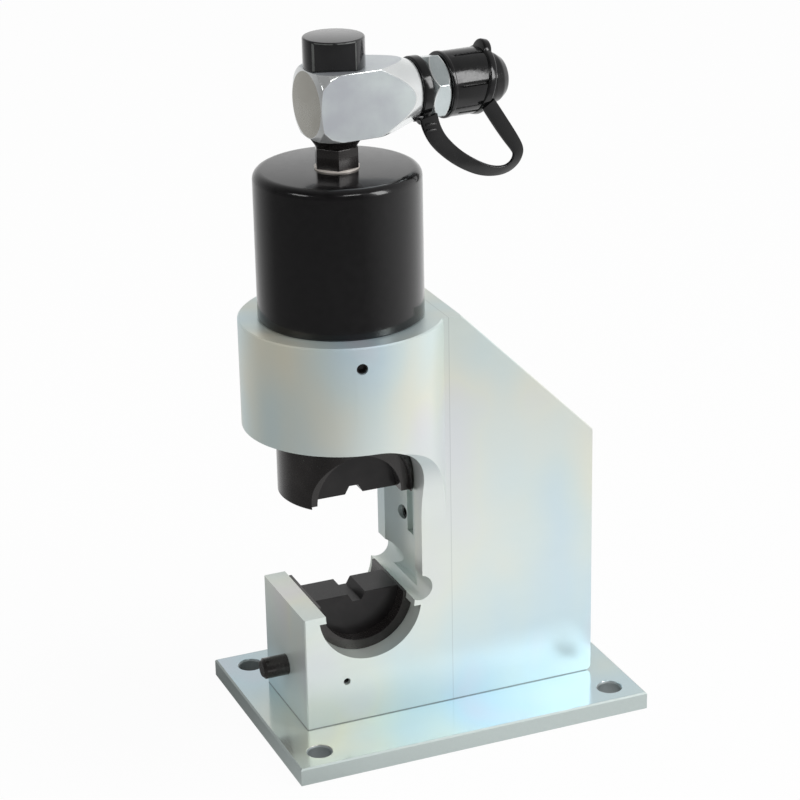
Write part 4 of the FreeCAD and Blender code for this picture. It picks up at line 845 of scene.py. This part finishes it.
flange = lathe("cap_flange", [
    (13, -FLANGE_HALF), (FLANGE, -FLANGE_HALF, 1.3), (FLANGE, FLANGE_HALF, 1.3), (13, FLANGE_HALF),
])
tab = prism("pull_tab", 40, 7.6, -2.3, 2.3)
tab.data.transform(Matrix.Translation((-14.4 * MM, 0, 0)))
soft_edges(tab, 1.1)
trim(tab, prism("tab_hole", 96, 14.5, -5, 5))
join(flange, tab)
flange.data.transform(Matrix.Translation((0, 0, FLANGE_PLACE * MM)) @ Matrix.Rotation(LEAN, 4, "Y"))
join(cap, flange)
coat(cap, black_rubber)
fit(cap, "cap", "dust_cap", at=TEE)

# %% [markdown]
# ## The strap
#
# A flat band that leaves the ring, hangs in a loop and comes back up to the
# flange. It is a smooth curve with a flat section along it. Each point of the
# curve has its own width, and a tilt where the band turns over at the bottom.
# The curve is then made a mesh.

# %% Strap
STRAP_FRONT = -16
STRAP_WIDE = 9
STRAP_THICK = 2.4
# Each point is its place along and above the swivel block, its width and its tilt.
STRAP = [
    ((46.2, -11.3), 1.15, 0), ((48.2, -21), 1.12, 0), ((56.2, -30.6), 1.0, 0),
    ((65.5, -38.2), 0.92, 5), ((75, -43.8), 0.84, 14), ((82.5, -46.8), 0.76, 28),
    ((91.5, -47.8), 0.7, 34), ((98, -44.5), 0.7, 24), ((100.6, -38.8), 0.74, 8),
    ((98.7, -34.6), 0.84, 0), ((91.6, -24.6), 1.0, 0), ((82, -9.5), 0.95, 0),
]
bpy.ops.object.select_all(action="DESELECT")
bpy.ops.mesh.primitive_plane_add(size=MM)
section = bpy.context.object
section.data.transform(Matrix.Diagonal((STRAP_WIDE, STRAP_THICK, 1, 1)))
take(section)
bpy.ops.object.mode_set(mode="EDIT")
bpy.ops.mesh.select_all(action="SELECT")
bpy.ops.mesh.bevel(offset=0.7 * MM, segments=3, affect="VERTICES")
bpy.ops.mesh.select_all(action="SELECT")
bpy.ops.mesh.delete(type="ONLY_FACE")
bpy.ops.object.mode_set(mode="OBJECT")
bpy.ops.object.convert(target="CURVE")
section = bpy.context.object

route = bpy.data.curves.new("strap_route", "CURVE")
route.dimensions = "3D"
route.twist_mode = "MINIMUM"
route.resolution_u = 8
route.bevel_mode = "OBJECT"
route.bevel_object = section
route.use_fill_caps = True
line = route.splines.new("NURBS")
line.points.add(len(STRAP) - 1)
line.order_u = 4
line.use_endpoint_u = True
for point, ((along, height), width, tilt) in zip(line.points, STRAP):
    spot = TEE_FRAME @ Vector((along * MM, STRAP_FRONT * MM, height * MM))
    point.co = (*spot, 1)
    point.radius = width
    point.tilt = math.radians(tilt + 90)
band = bpy.data.objects.new("strap_band", route)
bpy.context.collection.objects.link(band)
take(band)
bpy.ops.object.convert(target="MESH")
strap = bpy.context.object
strap.name = "cap_strap_moulded"
bpy.data.objects.remove(section)
bpy.ops.object.mode_set(mode="EDIT")
bpy.ops.mesh.select_all(action="SELECT")
bpy.ops.mesh.remove_doubles(threshold=SAME_PLACE)
bpy.ops.mesh.normals_make_consistent(inside=False)
bpy.ops.object.mode_set(mode="OBJECT")
coat(strap, strap_rubber)
smooth_faces(strap, 40)
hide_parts("cap_strap")
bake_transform(strap)
low = [min(v.co[axis] for v in strap.data.vertices) for axis in range(3)]
high = [max(v.co[axis] for v in strap.data.vertices) for axis in range(3)]
print("strap box, mm:", [round(value / MM, 1) for value in low + high])

# %% [markdown]
# ## The springs inside
#
# The three springs inside shorten as the tool works. Here each of them only
# gets a mesh of its own.


def give_way(name):
    """Gives a spring a mesh of its own."""
    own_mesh(nodes[name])


give_way("return_spring")
give_way("release_spring")
give_way("valve_spring")

# %% [markdown]
# ## The studio
#
# The picture was taken against white, but the black cylinder shows what stood
# round it: a bright backdrop behind, and a dim room on the camera's side. One
# formula for that room lights the world and colours the floor that shiny faces
# mirror. A white card lies on the floor before the tool, so the low front
# faces mirror white too. A grey card lies left of the tool and darkens the
# jaw's side towards its foot. The camera itself sees plain white.

# %% Studio
BACKDROP = (0.8, 0.6, 0.0)
BACKDROP_FROM = -0.47
ROOM_DIM = 0.14
ROOM_BRIGHT = 1.15
ROOM_HIGH = 0.5
HIGH_FROM = 0.8
WHITE_CARD = (0.08, -0.24, 0.0)
WHITE_CARD_EDGE = (0.17, 0.4)
GREY_CARD = (-0.15, 0.05, 0.0)
GREY_CARD_EDGE = (0.04, 0.15)
CARD_GREY = 0.5
FLOOR_SIZE = 8
FLOOR_DROP = 0.2 * MM
FLOOR_TONE = 0.8
SEEN_WHITE = 0.96
SEEN_IN_MIRRORS = 0.85
SPREAD_ROOM = 0.36
SPREAD_EVEN = 0.64
SPREAD_LEVEL = 0.86


def room_light(start, direction):
    """How bright the room is in a direction: brightest at the backdrop, dimmer overhead."""
    towards = start.node("ShaderNodeVectorMath", {"operation": "NORMALIZE"}, i0=direction)
    side = start.node("ShaderNodeVectorMath", {"operation": "DOT_PRODUCT"}, output="Value",
                      i0=towards, i1=BACKDROP)
    rise = start.node("ShaderNodeSeparateXYZ", output="Z", Vector=towards)
    bright_side = start.node("ShaderNodeMapRange", i0=side, i1=BACKDROP_FROM, i2=1.0,
                             i3=ROOM_DIM, i4=ROOM_BRIGHT)
    overhead = start.node("ShaderNodeMapRange", i0=rise, i1=0.0, i2=HIGH_FROM,
                          i3=1.0, i4=ROOM_HIGH)
    return bright_side * overhead


def studio_floor():
    """A floor that the camera sees white and that shiny faces see as the room."""
    bpy.ops.object.select_all(action="DESELECT")
    bpy.ops.mesh.primitive_plane_add(size=FLOOR_SIZE, location=(0, 0, -FLOOR_DROP))
    floor = bpy.context.object
    floor.name = "studio_floor"
    material = bpy.data.materials.new("studio_floor")
    material.use_nodes = True
    tree = material.node_tree
    start = Wire(tree, None)
    plain = tree.nodes["Principled BSDF"]
    plain.inputs["Roughness"].default_value = 0.8
    place = start.node("ShaderNodeTexCoord", output="Object")

    def card(middle, inner, outer):
        """1 on a round card, and 0 away from it."""
        away = start.node("ShaderNodeVectorMath", {"operation": "DISTANCE"}, output="Value",
                          i0=place, i1=middle)
        return start.node("ShaderNodeMapRange", i0=away, i1=inner, i2=outer, i3=1.0, i4=0.0)

    lit = 1 - card(GREY_CARD, *GREY_CARD_EDGE) * CARD_GREY
    tree.links.new((lit * FLOOR_TONE).socket, plain.inputs["Base Color"])
    seen = start.node("ShaderNodeLightPath", output="Is Camera Ray")
    mirrored = start.node("ShaderNodeLightPath", output="Is Glossy Ray")
    white_card = card(WHITE_CARD, *WHITE_CARD_EDGE)
    room = start.math("MAXIMUM", room_light(start, place), white_card) * lit
    strength = seen + (1 - seen) * room
    white = start.node("ShaderNodeEmission", Color=(1, 1, 1, 1), Strength=strength)
    mixed = start.node("ShaderNodeMixShader", i0=seen * SEEN_WHITE + mirrored * SEEN_IN_MIRRORS,
                       i1=Wire(tree, plain.outputs[0]), i2=white)
    tree.links.new(mixed.socket, tree.nodes["Material Output"].inputs["Surface"])
    floor.data.materials.append(material)


def studio_world():
    """White for the camera, the room for shiny faces, and a mild light for the rest."""
    world = bpy.data.worlds.new("studio_world")
    bpy.context.scene.world = world
    world.use_nodes = True
    tree = world.node_tree
    start = Wire(tree, None)
    direction = start.node("ShaderNodeTexCoord", output="Generated")
    seen = start.node("ShaderNodeLightPath", output="Is Camera Ray")
    mirrored = start.node("ShaderNodeLightPath", output="Is Glossy Ray")
    room = room_light(start, direction)
    spread = (room * SPREAD_ROOM + SPREAD_EVEN) * SPREAD_LEVEL
    strength = seen + (1 - seen) * (mirrored * room + (1 - mirrored) * spread)
    background = tree.nodes["Background"]
    background.inputs["Color"].default_value = (1, 1, 1, 1)
    tree.links.new(strength.socket, background.inputs["Strength"])


def lamp(name, place, target, size, watts):
    """A softbox at a place, aimed at a target."""
    data = bpy.data.lights.new(name, "AREA")
    data.shape = "RECTANGLE"
    data.size, data.size_y = size
    data.energy = watts
    made = bpy.data.objects.new(name, data)
    bpy.context.collection.objects.link(made)
    made.location = place
    made.rotation_euler = (Vector(target) - Vector(place)).to_track_quat("-Z", "Y").to_euler()


studio_floor()
studio_world()
lamp("key", place=(0.98, -1.2, 1.1), target=(0, 0, 0.34), size=(0.5, 1.05), watts=13.5)
lamp("left", place=(-1.45, -0.31, 1.22), target=(0, 0, 0.3), size=(0.6, 0.24), watts=3)
lamp("front", place=(0, -1.16, 1.55), target=(0, 0, 0.3), size=(0.55, 0.24), watts=2.8)
print("lamps:", [light.name for light in bpy.data.lights])
